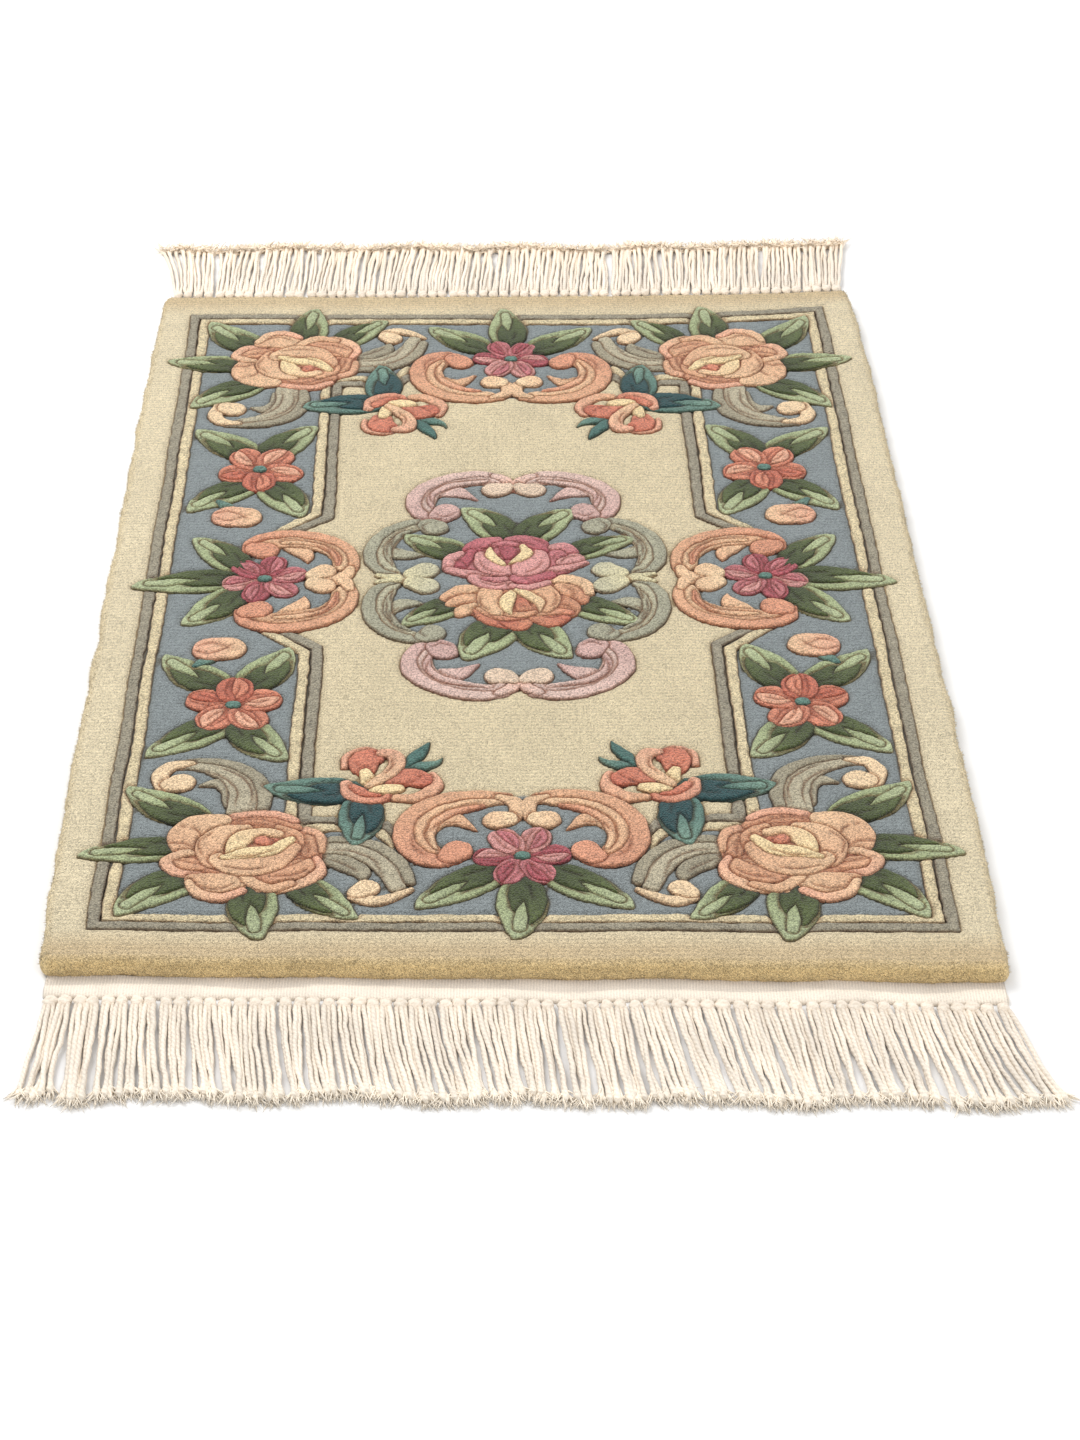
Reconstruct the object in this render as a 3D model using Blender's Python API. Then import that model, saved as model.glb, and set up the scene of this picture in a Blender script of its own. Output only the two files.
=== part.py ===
"""A small Chinese rug: carved wool pile, two flat-woven cotton ends and two knotted fringes.

Metres, +Z up. +Y runs along the rug, away from the end that is seen nearest. The origin is on the
floor under the middle of the pile. The carved pattern is laid out in the quarter where x and y are
positive and mirrored into the other three.
"""

import math
from typing import NamedTuple

import bmesh
import bpy
import numpy as np
from mathutils.geometry import delaunay_2d_cdt

# Pile: a 2 ft by 3 ft rug with rolled edges and gently waving long sides
PILE_WIDTH = 0.600
PILE_LENGTH = 0.915
GROUND_HEIGHT = 0.0150
ROLLED_EDGE = ((0.0, 0.0065), (0.0030, 0.0128), (0.0085, GROUND_HEIGHT))
SIDE_WAVE = 0.0018
SIDE_WAVE_LENGTH = 0.23
POINTS_PER_SIDE = 24
POINTS_PER_END = 8

# Carving: raised motifs with bevelled feet, and grooves beside the bands
MOTIF_BEVEL = 0.0026
LEAF_RELIEF = 0.0012
SCROLL_RELIEF = 0.0014
FLOWER_RELIEF = 0.0016
HEART_RELIEF = 0.0024
HEART_SHARE = 0.45
GROOVE_DEPTH = 0.0022
GROOVE_HALF_WIDTH = 0.0016
CARVING_TOLERANCE = 0.00005

# Weaving drift: the pattern's middle lies a little nearer than the rug's middle
PATTERN_DRIFT = 0.014
DRIFT_REACH = 0.426

# Border bands, as half widths and half lengths of their edges
BAND_EDGES = ((0.275, 0.425), (0.266, 0.416), (0.257, 0.407))

# Frame of the middle field: its line, and where its grooves run beside that line
FIELD_FRAME = ((0.172, 0.066), (0.148, 0.089), (0.148, 0.308), (0.097, 0.308), (0.070, 0.334))
FIELD_FRAME_OFFSETS = (-0.0085, 0.0, 0.0075)

# Flat-woven ends
WEB_LENGTH = 0.0215
WEB_WIDTH = 0.594
WEB_THICKNESS = 0.0022
WEB_RIDGE = 0.0012

# Fringe: a row of knots with two strands each
KNOTS_PER_END = 66
STRANDS_PER_KNOT = 2
KNOT_ROW_LENGTH = 0.0070
KNOT_HEIGHT = 0.0054
KNOT_VALLEY = 0.0034
STRAND_LENGTH = 0.083
STRAND_WIDTH = 0.0029
# Each strand's sections: its share of the length, its width and its height
STRAND_SECTIONS = ((0.45, 0.0029, 0.0030), (1.0, 0.0036, 0.0036))
# The sideways bend grows with this power of the distance from the knot
STRAND_CURL = 1.6
TIP_UNEVENNESS = 0.04

GAP = 0.0003

# Colours, as linear values
PILE_COLOUR = (0.66, 0.57, 0.38)
WEB_COLOUR = (0.76, 0.70, 0.62)
FRINGE_COLOUR = (0.84, 0.74, 0.60)
WOOL_ROUGHNESS = 0.95
COTTON_ROUGHNESS = 0.90

QUARTERS = ((1, 1), (-1, 1), (1, -1), (-1, -1))
LEFT_AND_RIGHT = ((1, 1), (-1, 1))
NEAR_AND_FAR = ((1, 1), (1, -1))
ONCE = ((1, 1),)


class Leaf(NamedTuple):
    """A pointed leaf from its base to its tip."""

    base: tuple
    tip: tuple
    half_width: float
    mirrors: tuple = QUARTERS


class Flower(NamedTuple):
    """A lobed flower head about its centre."""

    centre: tuple
    reach_x: float
    reach_y: float
    lobes: int
    points: int
    mirrors: tuple = QUARTERS


class Scroll(NamedTuple):
    """A curled acanthus stroke through a line of points, from its round head."""

    line: tuple
    half_width: float


LEAVES = (
    # Round the corner roses
    Leaf((0.212, 0.291), (0.262, 0.266), 0.013),
    Leaf((0.222, 0.326), (0.286, 0.331), 0.012),
    Leaf((0.212, 0.368), (0.257, 0.402), 0.014),
    Leaf((0.172, 0.374), (0.173, 0.431), 0.016),
    Leaf((0.145, 0.367), (0.108, 0.409), 0.013),
    # Round the side flowers
    Leaf((0.209, 0.136), (0.253, 0.104), 0.013),
    Leaf((0.189, 0.137), (0.158, 0.094), 0.014),
    Leaf((0.211, 0.184), (0.254, 0.220), 0.013),
    Leaf((0.187, 0.187), (0.163, 0.229), 0.014),
    # Beside the sprays
    Leaf((0.114, 0.263), (0.168, 0.263), 0.013),
    Leaf((0.107, 0.274), (0.104, 0.322), 0.014),
    Leaf((0.080, 0.238), (0.057, 0.217), 0.007),
    # Either side of the middle flowers of the border
    Leaf((0.212, 0.0), (0.284, 0.0), 0.015, LEFT_AND_RIGHT),
    Leaf((0.205, 0.018), (0.241, 0.059), 0.013),
    Leaf((0.0, 0.368), (0.0, 0.430), 0.015, NEAR_AND_FAR),
    Leaf((0.022, 0.356), (0.070, 0.393), 0.014),
    # In the medallion
    Leaf((0.006, 0.056), (0.038, 0.101), 0.013),
    Leaf((0.042, 0.036), (0.085, 0.057), 0.011),
)

FLOWERS = (
    Flower((0.180, 0.337), 0.052, 0.044, 7, 21),
    Flower((0.198, 0.162), 0.035, 0.035, 6, 18),
    Flower((0.185, 0.0), 0.032, 0.032, 6, 18, LEFT_AND_RIGHT),
    Flower((0.0, 0.342), 0.034, 0.031, 6, 18, NEAR_AND_FAR),
    Flower((0.088, 0.250), 0.030, 0.027, 4, 12),
    Flower((0.213, 0.091), 0.017, 0.015, 2, 8),
    Flower((0.0, 0.025), 0.052, 0.036, 7, 21, ONCE),
    Flower((0.0, -0.034), 0.056, 0.034, 7, 21, ONCE),
)

SCROLLS = (
    # Along the ends, either side of the middle flower
    Scroll(((0.018, 0.301), (0.006, 0.288), (0.028, 0.275), (0.055, 0.280), (0.073, 0.302),
            (0.075, 0.330), (0.058, 0.345), (0.041, 0.337)), 0.0078),
    # Along the sides, either side of the middle flower
    Scroll(((0.148, 0.012), (0.130, 0.006), (0.121, 0.031), (0.136, 0.053), (0.165, 0.064),
            (0.192, 0.059), (0.201, 0.046), (0.189, 0.041)), 0.0074),
    # From the corner roses
    Scroll(((0.176, 0.290), (0.172, 0.260), (0.188, 0.238), (0.212, 0.229), (0.234, 0.236),
            (0.239, 0.252), (0.226, 0.258)), 0.0080),
    Scroll(((0.134, 0.330), (0.105, 0.331), (0.084, 0.346), (0.076, 0.367), (0.084, 0.383),
            (0.102, 0.382)), 0.0080),
    # Round the medallion
    Scroll(((0.050, 0.094), (0.066, 0.088), (0.080, 0.104), (0.077, 0.129), (0.050, 0.148),
            (0.020, 0.151), (0.007, 0.140), (0.016, 0.129)), 0.0076),
    Scroll(((0.066, 0.013), (0.092, 0.008), (0.106, 0.028), (0.107, 0.050), (0.092, 0.073),
            (0.070, 0.082), (0.055, 0.072)), 0.0080),
)

# A leaf's outline: shares of its length and of its half width
LEAF_OUTLINE = ((0.08, 0.42), (0.42, 1.0), (0.78, 0.60))
# A scroll's width at its head and its tail, as shares of its half width
SCROLL_HEAD = 1.2
SCROLL_TAIL = 0.75
SCROLL_SAMPLES = 8
# A lobed flower's reach swings by this share
LOBE_SWELL = 0.08


def clear_scene():
    """Remove whatever the file holds."""
    for obj in list(bpy.data.objects):
        bpy.data.objects.remove(obj, do_unlink=True)


def yarn_material(name, colour, roughness):
    """A matt fibre material."""
    material = bpy.data.materials.new(name)
    material.use_nodes = True
    shader = material.node_tree.nodes["Principled BSDF"]
    shader.inputs["Base Color"].default_value = (*colour, 1.0)
    shader.inputs["Roughness"].default_value = roughness
    shader.inputs["Metallic"].default_value = 0.0
    return material


def add_object(name, bm, material, collection):
    """Turn a bmesh into an object of the rug's collection."""
    bmesh.ops.recalc_face_normals(bm, faces=bm.faces[:])
    mesh = bpy.data.meshes.new(name)
    bm.to_mesh(mesh)
    bm.free()
    mesh.materials.append(material)
    collection.objects.link(bpy.data.objects.new(name, mesh))


def drop_to_floor(bm):
    """Close an open top surface with walls straight down and a flat underside at z = 0."""
    rim = [edge for edge in bm.edges if edge.is_boundary]
    wall = bmesh.ops.extrude_edge_only(bm, edges=rim)["geom"]
    for vert in (item for item in wall if isinstance(item, bmesh.types.BMVert)):
        vert.co.z = 0.0
    bmesh.ops.contextual_create(bm, geom=[edge for edge in bm.edges if edge.is_boundary])


def drifted(points):
    """Pattern places moved along the rug by the weaving drift, which dies out at the border bands."""
    moved = np.array(points, float)
    share = np.clip(np.abs(moved[:, 1]) / DRIFT_REACH, 0.0, 1.0)
    moved[:, 1] -= PATTERN_DRIFT * (1.0 - share**4)
    return moved


def leaf_outline(leaf, inset):
    """A closed outline: the tip, one side back to the base, and the other side out again."""
    base, tip = np.array(leaf.base), np.array(leaf.tip)
    along = (tip - base) / np.linalg.norm(tip - base)
    across = np.array((-along[1], along[0]))
    length = np.linalg.norm(tip - base) - 3 * inset
    start = base + along * inset
    left = [start + along * far * length + across * wide * (leaf.half_width - inset)
            for far, wide in LEAF_OUTLINE]
    right = [start + along * far * length - across * wide * (leaf.half_width - inset)
             for far, wide in LEAF_OUTLINE]
    return [start + along * length, *reversed(left), *right]


def flower_outline(flower, inset):
    """A closed outline whose reach swells at each lobe."""
    angles = np.linspace(0.0, math.tau, flower.points, endpoint=False)
    swell = 1.0 - LOBE_SWELL + LOBE_SWELL * np.cos(flower.lobes * angles)
    x = flower.centre[0] + (flower.reach_x * swell - inset) * np.cos(angles)
    y = flower.centre[1] + (flower.reach_y * swell - inset) * np.sin(angles)
    return list(zip(x, y))


def heart_outline(flower):
    """A plain round outline about the flower's middle, where its petals crowd up."""
    angles = np.linspace(0.0, math.tau, flower.lobes + 1, endpoint=False)
    x = flower.centre[0] + HEART_SHARE * flower.reach_x * np.cos(angles)
    y = flower.centre[1] + HEART_SHARE * flower.reach_y * np.sin(angles)
    return list(zip(x, y))


def smooth_line(points, samples):
    """Evenly spaced samples of a smooth curve through the points, by Catmull and Rom's formula."""
    padded = np.array([points[0], *points, points[-1]], float)
    found = []
    for place in np.linspace(0.0, len(points) - 1, samples):
        span = min(int(place), len(points) - 2)
        t = place - span
        a, b, c, d = padded[span : span + 4]
        bend = (2 * a - 5 * b + 4 * c - d) * t**2 + (3 * b - a - 3 * c + d) * t**3
        found.append(0.5 * (2 * b + (c - a) * t + bend))
    return np.array(found)


def scroll_outline(scroll, inset):
    """A closed outline on both sides of the scroll's line, wide at the head and slim at the tail."""
    line = smooth_line(scroll.line, SCROLL_SAMPLES)
    along = np.gradient(line, axis=0)
    along /= np.linalg.norm(along, axis=1)[:, None]
    across = np.stack([-along[:, 1], along[:, 0]], axis=1)
    widths = scroll.half_width * np.linspace(SCROLL_HEAD, SCROLL_TAIL, SCROLL_SAMPLES)[:, None] - inset
    line[0] += along[0] * inset
    line[-1] -= along[-1] * inset
    return [*(line + across * widths), *reversed(line - across * widths)]


def placed(points, mirror):
    """An outline or line of the pattern in another quarter, with the weaving drift."""
    return drifted([(x * mirror[0], y * mirror[1]) for x, y in points])


def raised_motifs():
    """Each raised motif as its foot outline, the outlines on its crown, and its relief."""
    motifs = []
    for leaf in LEAVES:
        crown = [leaf_outline(leaf, MOTIF_BEVEL)]
        motifs += [(leaf_outline(leaf, 0.0), crown, LEAF_RELIEF, mirror) for mirror in leaf.mirrors]
    for scroll in SCROLLS:
        crown = [scroll_outline(scroll, MOTIF_BEVEL)]
        motifs += [(scroll_outline(scroll, 0.0), crown, SCROLL_RELIEF, mirror) for mirror in QUARTERS]
    for flower in FLOWERS:
        crown = [flower_outline(flower, MOTIF_BEVEL), heart_outline(flower)]
        motifs += [(flower_outline(flower, 0.0), crown, FLOWER_RELIEF, mirror) for mirror in flower.mirrors]
    return [
        (placed(foot, mirror), [placed(outline, mirror) for outline in crown], relief)
        for foot, crown, relief, mirror in motifs
    ]


def offset_line(line, offset):
    """An open line moved sideways, with mitred corners."""
    points = np.array(line, float)
    along = np.diff(points, axis=0)
    along /= np.linalg.norm(along, axis=1)[:, None]
    across = np.stack([-along[:, 1], along[:, 0]], axis=1)
    before = np.vstack([across[:1], across])
    after = np.vstack([across, across[-1:]])
    mitre = before + after
    mitre /= (mitre * before).sum(axis=1)[:, None]
    return points + mitre * offset


def groove_lines(step):
    """The line along every carved groove, moved sideways by a step, and whether it is closed."""
    lines = []
    for half_width, half_length in BAND_EDGES:
        x, y = half_width + step, half_length + step
        lines.append(([(x, y), (-x, y), (-x, -y), (x, -y)], True))
    for offset in FIELD_FRAME_OFFSETS:
        line = offset_line(FIELD_FRAME, offset + step)
        lines += [(placed(line, mirror), False) for mirror in QUARTERS]
    return lines


def perimeter(inset):
    """The pile's outline seen from above: straight ends, and long sides that wave a little."""
    half_width, half_length = PILE_WIDTH / 2 - inset, PILE_LENGTH / 2 - inset
    y = np.linspace(-half_length, half_length, POINTS_PER_SIDE, endpoint=False)
    fade = 1 - (y / half_length) ** 6
    side_x = half_width + SIDE_WAVE * fade * np.sin(math.tau * y / SIDE_WAVE_LENGTH)
    end_x = np.linspace(half_width, -half_width, POINTS_PER_END, endpoint=False)
    half = [*zip(side_x, y), *((x, half_length) for x in end_x)]
    return half + [(-x, -y) for x, y in half]


def distances_to_line(points, line, closed):
    """How far each point is from a line of straight pieces."""
    ends = np.array(line, float)
    starts = ends if closed else ends[:-1]
    stops = np.roll(ends, -1, axis=0) if closed else ends[1:]
    step = stops - starts
    from_start = points[:, None, :] - starts[None]
    share = np.clip((from_start * step).sum(axis=2) / (step**2).sum(axis=1), 0.0, 1.0)
    return np.linalg.norm(from_start - share[..., None] * step, axis=2).min(axis=1)


def are_inside(points, outline):
    """Whether each point is inside a closed outline, by counting the edges that a ray crosses."""
    starts = np.array(outline, float)
    stops = np.roll(starts, -1, axis=0)
    x, y = points[:, :1], points[:, 1:]
    spans = (starts[:, 1] > y) != (stops[:, 1] > y)
    rise = np.where(stops[:, 1] == starts[:, 1], 1.0, stops[:, 1] - starts[:, 1])
    crossing = starts[:, 0] + (y - starts[:, 1]) * (stops[:, 0] - starts[:, 0]) / rise
    return (spans & (x < crossing)).sum(axis=1) % 2 == 1


def pile_heights(points, motifs):
    """The pile's height: rolled off at its edge, cut down in the grooves, raised at the motifs."""
    insets, edge_heights = zip(*ROLLED_EDGE)
    heights = np.interp(distances_to_line(points, perimeter(0.0), True), insets, edge_heights)
    for line, closed in groove_lines(0.0):
        nearness = np.clip(1 - distances_to_line(points, line, closed) / GROOVE_HALF_WIDTH, 0.0, 1.0)
        heights = np.minimum(heights, GROUND_HEIGHT - GROOVE_DEPTH * nearness)
    for foot, crown, relief in motifs:
        covered = are_inside(points, foot)
        depth = np.where(covered, distances_to_line(points, foot, True), 0.0)
        raised = GROUND_HEIGHT + relief * np.clip(depth / MOTIF_BEVEL, 0.0, 1.0)
        if len(crown) > 1:
            on_heart = are_inside(points, crown[1]) | (distances_to_line(points, crown[1], True) < GAP)
            raised = np.where(on_heart, GROUND_HEIGHT + HEART_RELIEF, raised)
        heights = np.where(depth > CARVING_TOLERANCE, np.maximum(heights, raised), heights)
    return heights


def add_pile(material, collection):
    """The pile on its foundation: one slab whose top is triangulated between all its carved lines."""
    motifs = raised_motifs()
    loops = [(perimeter(inset), True) for inset, _ in ROLLED_EDGE]
    for step in (-GROOVE_HALF_WIDTH, 0.0, GROOVE_HALF_WIDTH):
        loops += groove_lines(step)
    loops += [(outline, True) for foot, crown, _ in motifs for outline in (foot, *crown)]
    corners, edges = [], []
    for line, closed in loops:
        first, count = len(corners), len(line)
        corners += [(float(x), float(y)) for x, y in line]
        edges += [(first + i, first + i + 1) for i in range(count - 1)]
        if closed:
            edges.append((first + count - 1, first))
    flat, _, faces, *_ = delaunay_2d_cdt(corners, edges, [], 1, CARVING_TOLERANCE)
    places = np.array([tuple(point) for point in flat])
    bm = bmesh.new()
    tops = [bm.verts.new((x, y, z)) for (x, y), z in zip(places, pile_heights(places, motifs))]
    for face in faces:
        bm.faces.new([tops[i] for i in face])
    drop_to_floor(bm)
    add_object("pile", bm, material, collection)


def add_web(name, side, material, collection):
    """A flat-woven end: a thin cotton strip with a soft ridge along its middle."""
    bm = bmesh.new()
    bmesh.ops.create_grid(bm, x_segments=1, y_segments=2, size=0.5)
    for vert in bm.verts:
        vert.co.z = WEB_THICKNESS + WEB_RIDGE * (1 - abs(2 * vert.co.y))
        vert.co.x = vert.co.x * WEB_WIDTH
        vert.co.y = side * (PILE_LENGTH / 2 + GAP + WEB_LENGTH * (vert.co.y + 0.5))
    drop_to_floor(bm)
    add_object(name, bm, material, collection)


def near_sweep(share):
    """How far a near strand's tip lies to the right of its root, by its place from -1 to 1."""
    return 0.010 + 0.010 * share + 0.006 * math.sin(5.0 * share) + 0.008 * share**5


def far_sweep(share):
    """The same for the far strands, which fan out at both corners."""
    return 0.003 * math.sin(6.0 * share) + 0.010 * share**5


def strand_roots():
    """The middle of each strand's root, from left to right."""
    pitch = WEB_WIDTH / (KNOTS_PER_END * STRANDS_PER_KNOT)
    return np.arange(-WEB_WIDTH / 2 + pitch / 2, WEB_WIDTH / 2, pitch)


def knot_row_stations():
    """Places across the knot row and its height there: each knot is high between its two strands."""
    stations = [(-WEB_WIDTH / 2, KNOT_VALLEY)]
    for strand, middle in enumerate(strand_roots()):
        first_of_knot = strand % STRANDS_PER_KNOT == 0
        stations.append((middle - STRAND_WIDTH / 2, KNOT_VALLEY if first_of_knot else KNOT_HEIGHT))
        stations.append((middle + STRAND_WIDTH / 2, KNOT_HEIGHT if first_of_knot else KNOT_VALLEY))
    stations.append((WEB_WIDTH / 2, KNOT_VALLEY))
    return stations


def add_fringe(name, side, sweep, material, collection):
    """A row of knots with the strands grown from its outer face, all resting level on the floor."""
    stations = knot_row_stations()
    row_start = PILE_LENGTH / 2 + WEB_LENGTH + 2 * GAP
    bm = bmesh.new()
    bmesh.ops.create_cube(bm, size=1.0)
    long_edges = [edge for edge in bm.edges if edge.verts[0].co.x * edge.verts[1].co.x < 0]
    bmesh.ops.subdivide_edges(bm, edges=long_edges, cuts=len(stations) - 2, use_grid_fill=True)
    for vert in bm.verts:
        x, height = stations[round((vert.co.x + 0.5) * (len(stations) - 1))]
        outer, upper = vert.co.y > 0, vert.co.z > 0
        vert.co.x = x
        vert.co.y = side * (row_start + outer * KNOT_ROW_LENGTH)
        vert.co.z = upper * (height if outer else KNOT_VALLEY)
    bm.normal_update()
    outer_faces = [face for face in bm.faces if abs(face.calc_center_median().y) > row_start + GAP
                   and all(abs(abs(vert.co.y) - row_start - KNOT_ROW_LENGTH) < GAP for vert in face.verts)]
    outer_faces.sort(key=lambda face: face.calc_center_median().x)
    ends = outer_faces[1::2]
    for reach, width, height in STRAND_SECTIONS:
        ends = grow_strands(bm, ends, reach, width, height, side, sweep)
    add_object(name, bm, material, collection)


def grow_strands(bm, ends, reach, width, height, side, sweep):
    """Extrude each strand's end face as far as its next section, and return the new end faces."""
    new_ends = bmesh.ops.extrude_discrete_faces(bm, faces=ends)["faces"]
    new_ends.sort(key=lambda face: face.calc_center_median().x)
    root_y = PILE_LENGTH / 2 + WEB_LENGTH + 2 * GAP + KNOT_ROW_LENGTH
    for strand, (face, root_x) in enumerate(zip(new_ends, strand_roots())):
        uneven = 1 - TIP_UNEVENNESS * (1 - math.sin(2.4 * strand) * math.cos(0.7 * strand))
        middle_x = root_x + sweep(2 * root_x / WEB_WIDTH) * reach**STRAND_CURL
        old_middle_x = face.calc_center_median().x
        for vert in face.verts:
            vert.co.x = middle_x + math.copysign(width / 2, vert.co.x - old_middle_x)
            vert.co.y = side * (root_y + STRAND_LENGTH * reach * uneven)
            vert.co.z = height if vert.co.z > GAP else 0.0
    return new_ends


def main():
    """Build the rug: the pile, then a flat-woven end and a fringe at each end."""
    clear_scene()
    rug = bpy.data.collections.new("chinese_rug")
    bpy.context.scene.collection.children.link(rug)
    wool = yarn_material("wool pile", PILE_COLOUR, WOOL_ROUGHNESS)
    web_cotton = yarn_material("woven cotton", WEB_COLOUR, COTTON_ROUGHNESS)
    fringe_cotton = yarn_material("fringe cotton", FRINGE_COLOUR, COTTON_ROUGHNESS)
    add_pile(wool, rug)
    add_web("web_near", -1, web_cotton, rug)
    add_web("web_far", 1, web_cotton, rug)
    add_fringe("fringe_near", -1, near_sweep, fringe_cotton, rug)
    add_fringe("fringe_far", 1, far_sweep, fringe_cotton, rug)


main()
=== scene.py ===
"""The looks of a small carved Chinese rug: wool pile, raised motifs, woven ends and fringes.

Everything is in metres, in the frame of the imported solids: +Y runs along the rug away from the
camera, +X to the right, and the floor is z = 0. The pattern's tables are in millimetres.
"""

from __future__ import annotations

import logging
import math
from dataclasses import dataclass, field
from enum import Enum

import bmesh
import bpy
import numpy as np
from mathutils import Matrix, Vector

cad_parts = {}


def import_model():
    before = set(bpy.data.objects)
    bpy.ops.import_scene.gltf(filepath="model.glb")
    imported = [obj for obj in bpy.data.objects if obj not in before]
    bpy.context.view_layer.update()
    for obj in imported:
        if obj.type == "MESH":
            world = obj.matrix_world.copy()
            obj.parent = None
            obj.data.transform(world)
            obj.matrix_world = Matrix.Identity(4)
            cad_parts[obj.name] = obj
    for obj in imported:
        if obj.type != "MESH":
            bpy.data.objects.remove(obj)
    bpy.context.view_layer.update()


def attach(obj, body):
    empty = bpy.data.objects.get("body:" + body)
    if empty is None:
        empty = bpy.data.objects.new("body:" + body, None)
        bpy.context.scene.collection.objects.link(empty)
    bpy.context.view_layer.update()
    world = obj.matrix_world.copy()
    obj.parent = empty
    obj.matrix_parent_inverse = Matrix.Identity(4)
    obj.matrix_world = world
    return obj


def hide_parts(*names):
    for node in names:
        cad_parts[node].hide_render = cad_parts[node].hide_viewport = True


LOG = logging.getLogger("chinese_rug")
MM = 0.001

# The level of the low pile, and how far the carved motifs' feet are sunk into it
GROUND_HEIGHT = 0.0150
SUNK = 0.0018
# The width of the woven ends and the fringes
COTTON_WIDTH = 0.594


class Yarn(Enum):
    """Dyed yarns, and painted shade for the rims and the woven ends, as sRGB values from 0 to 255."""

    FIELD = (222, 206, 170)
    MARGIN = (228, 213, 179)
    END_MARGIN = (211, 188, 148)
    # Painted shade on the pile's rolled rims, strongest on the end faces; not a dye
    PAINTED_RIM_SHADE = (232, 204, 148)
    BLUE = (137, 145, 146)
    BAND_GREY = (156, 148, 128)
    BAND_CREAM = (220, 203, 164)
    LEAF_DARK = (58, 68, 36)
    LEAF_MID = (94, 106, 60)
    LEAF_LIGHT = (152, 164, 116)
    LEAF_PALE = (182, 191, 150)
    TEAL_DARK = (38, 76, 78)
    TEAL_MID = (76, 114, 106)
    TEAL_LIGHT = (122, 152, 136)
    CORAL = (218, 140, 112)
    CORAL_DARK = (202, 116, 92)
    CORAL_LIGHT = (234, 176, 146)
    CORAL_SCROLL = (222, 156, 124)
    PEACH = (226, 176, 138)
    PEACH_LIGHT = (236, 196, 156)
    PEACH_DARK = (208, 150, 116)
    TERRACOTTA = (203, 140, 107)
    CREAM = (244, 218, 168)
    PINK_DARK = (180, 92, 100)
    PINK = (202, 124, 128)
    PINK_LIGHT = (220, 158, 152)
    LILAC = (211, 173, 164)
    LILAC_LIGHT = (225, 195, 182)
    SCROLL_GREY = (166, 157, 133)
    SCROLL_GREY_LIGHT = (184, 174, 148)
    SCROLL_GREEN = (166, 163, 140)
    SCROLL_GREEN_LIGHT = (188, 183, 155)
    HOOK = (224, 214, 172)
    HOOK_PINK = (232, 206, 180)
    HOOK_GOLD = (240, 210, 170)
    EYE = (98, 134, 122)
    COTTON = (244, 232, 216)
    # Painted shade for the woven ends by the pile; not a dye
    COTTON_PAINTED_SHADE = (216, 204, 190)
    COTTON_TIP = (255, 244, 227)
    COTTON_TAN = (255, 238, 215)

    @property
    def linear(self) -> np.ndarray:
        """The yarn's colour as linear red, green and blue."""
        share = np.array(self.value) / 255.0
        return np.where(share <= 0.04045, share / 12.92, ((share + 0.055) / 1.055) ** 2.4)


class Repeat(Enum):
    """How a stroke of the pattern is mirrored about the rug's middle, as signs for x and y."""

    QUARTERS = ((-1, -1), (1, -1), (-1, 1), (1, 1))
    SIDES = ((-1, -1), (1, -1))
    ENDS = ((-1, -1), (-1, 1))
    ONCE = ((1, 1),)


class LeafTone(Enum):
    """The yarns of a leaf: its dark heart, the shade between, its light blade and its tip."""

    OLIVE = (Yarn.LEAF_DARK, Yarn.LEAF_MID, Yarn.LEAF_LIGHT, Yarn.LEAF_PALE)
    TEAL = (Yarn.TEAL_DARK, Yarn.TEAL_DARK, Yarn.TEAL_MID, Yarn.TEAL_LIGHT)


@dataclass(frozen=True)
class Stroke:
    """One raised stroke of pile: a line of (x, y, half width) in millimetres.

    A stroke that repeats is given as it lies in the near left quarter, with both signs turned
    positive. One that stands once is given with its own signs. Without a yarn it is a fine carved
    line across the strokes below it.
    """

    yarn: Yarn | None
    line: tuple[tuple[float, float, float], ...]
    repeat: Repeat = Repeat.QUARTERS
    fades_to: Yarn | None = None
    lift: float = 0.0


def ripple(x: np.ndarray, y: np.ndarray, wavelength: float, seed: int) -> np.ndarray:
    """A smooth uneven field: the mean of six sine waves that run in scattered directions.

    Args:
        x: Places across, in metres.
        y: Places along, in metres.
        wavelength: The middle wavelength, in metres.
        seed: Picks the directions and phases.

    Returns:
        Values from about -1 to 1, in the shape of x.
    """
    draw = np.random.default_rng(seed)
    total = np.zeros(np.broadcast(x, y).shape)
    angles, phases = draw.uniform(0, math.pi, 6), draw.uniform(0, math.tau, 6)
    for angle, phase, stretch in zip(angles, phases, draw.uniform(0.6, 1.6, 6)):
        number = math.tau / (wavelength * stretch)
        total += np.sin(number * (x * math.cos(angle) + y * math.sin(angle)) + phase)
    return total / 3.0


def bell(distance: np.ndarray, width: float) -> np.ndarray:
    """A bell curve: 1 at and below no distance, falling as e to minus the squared share of width."""
    return np.exp(-((np.maximum(distance, 0) / width) ** 2))


def rounded(inside: np.ndarray, rounding: float) -> np.ndarray:
    """A quarter circle's rise from 0 at the edge to 1 at the rounding's reach inside it."""
    return np.sqrt(1 - (1 - np.clip(inside / rounding, 0, 1)) ** 2)


def blended(first: np.ndarray, second: np.ndarray, share: np.ndarray) -> np.ndarray:
    """The first colour moved towards the second by a share."""
    return first + (second - first) * share


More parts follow.
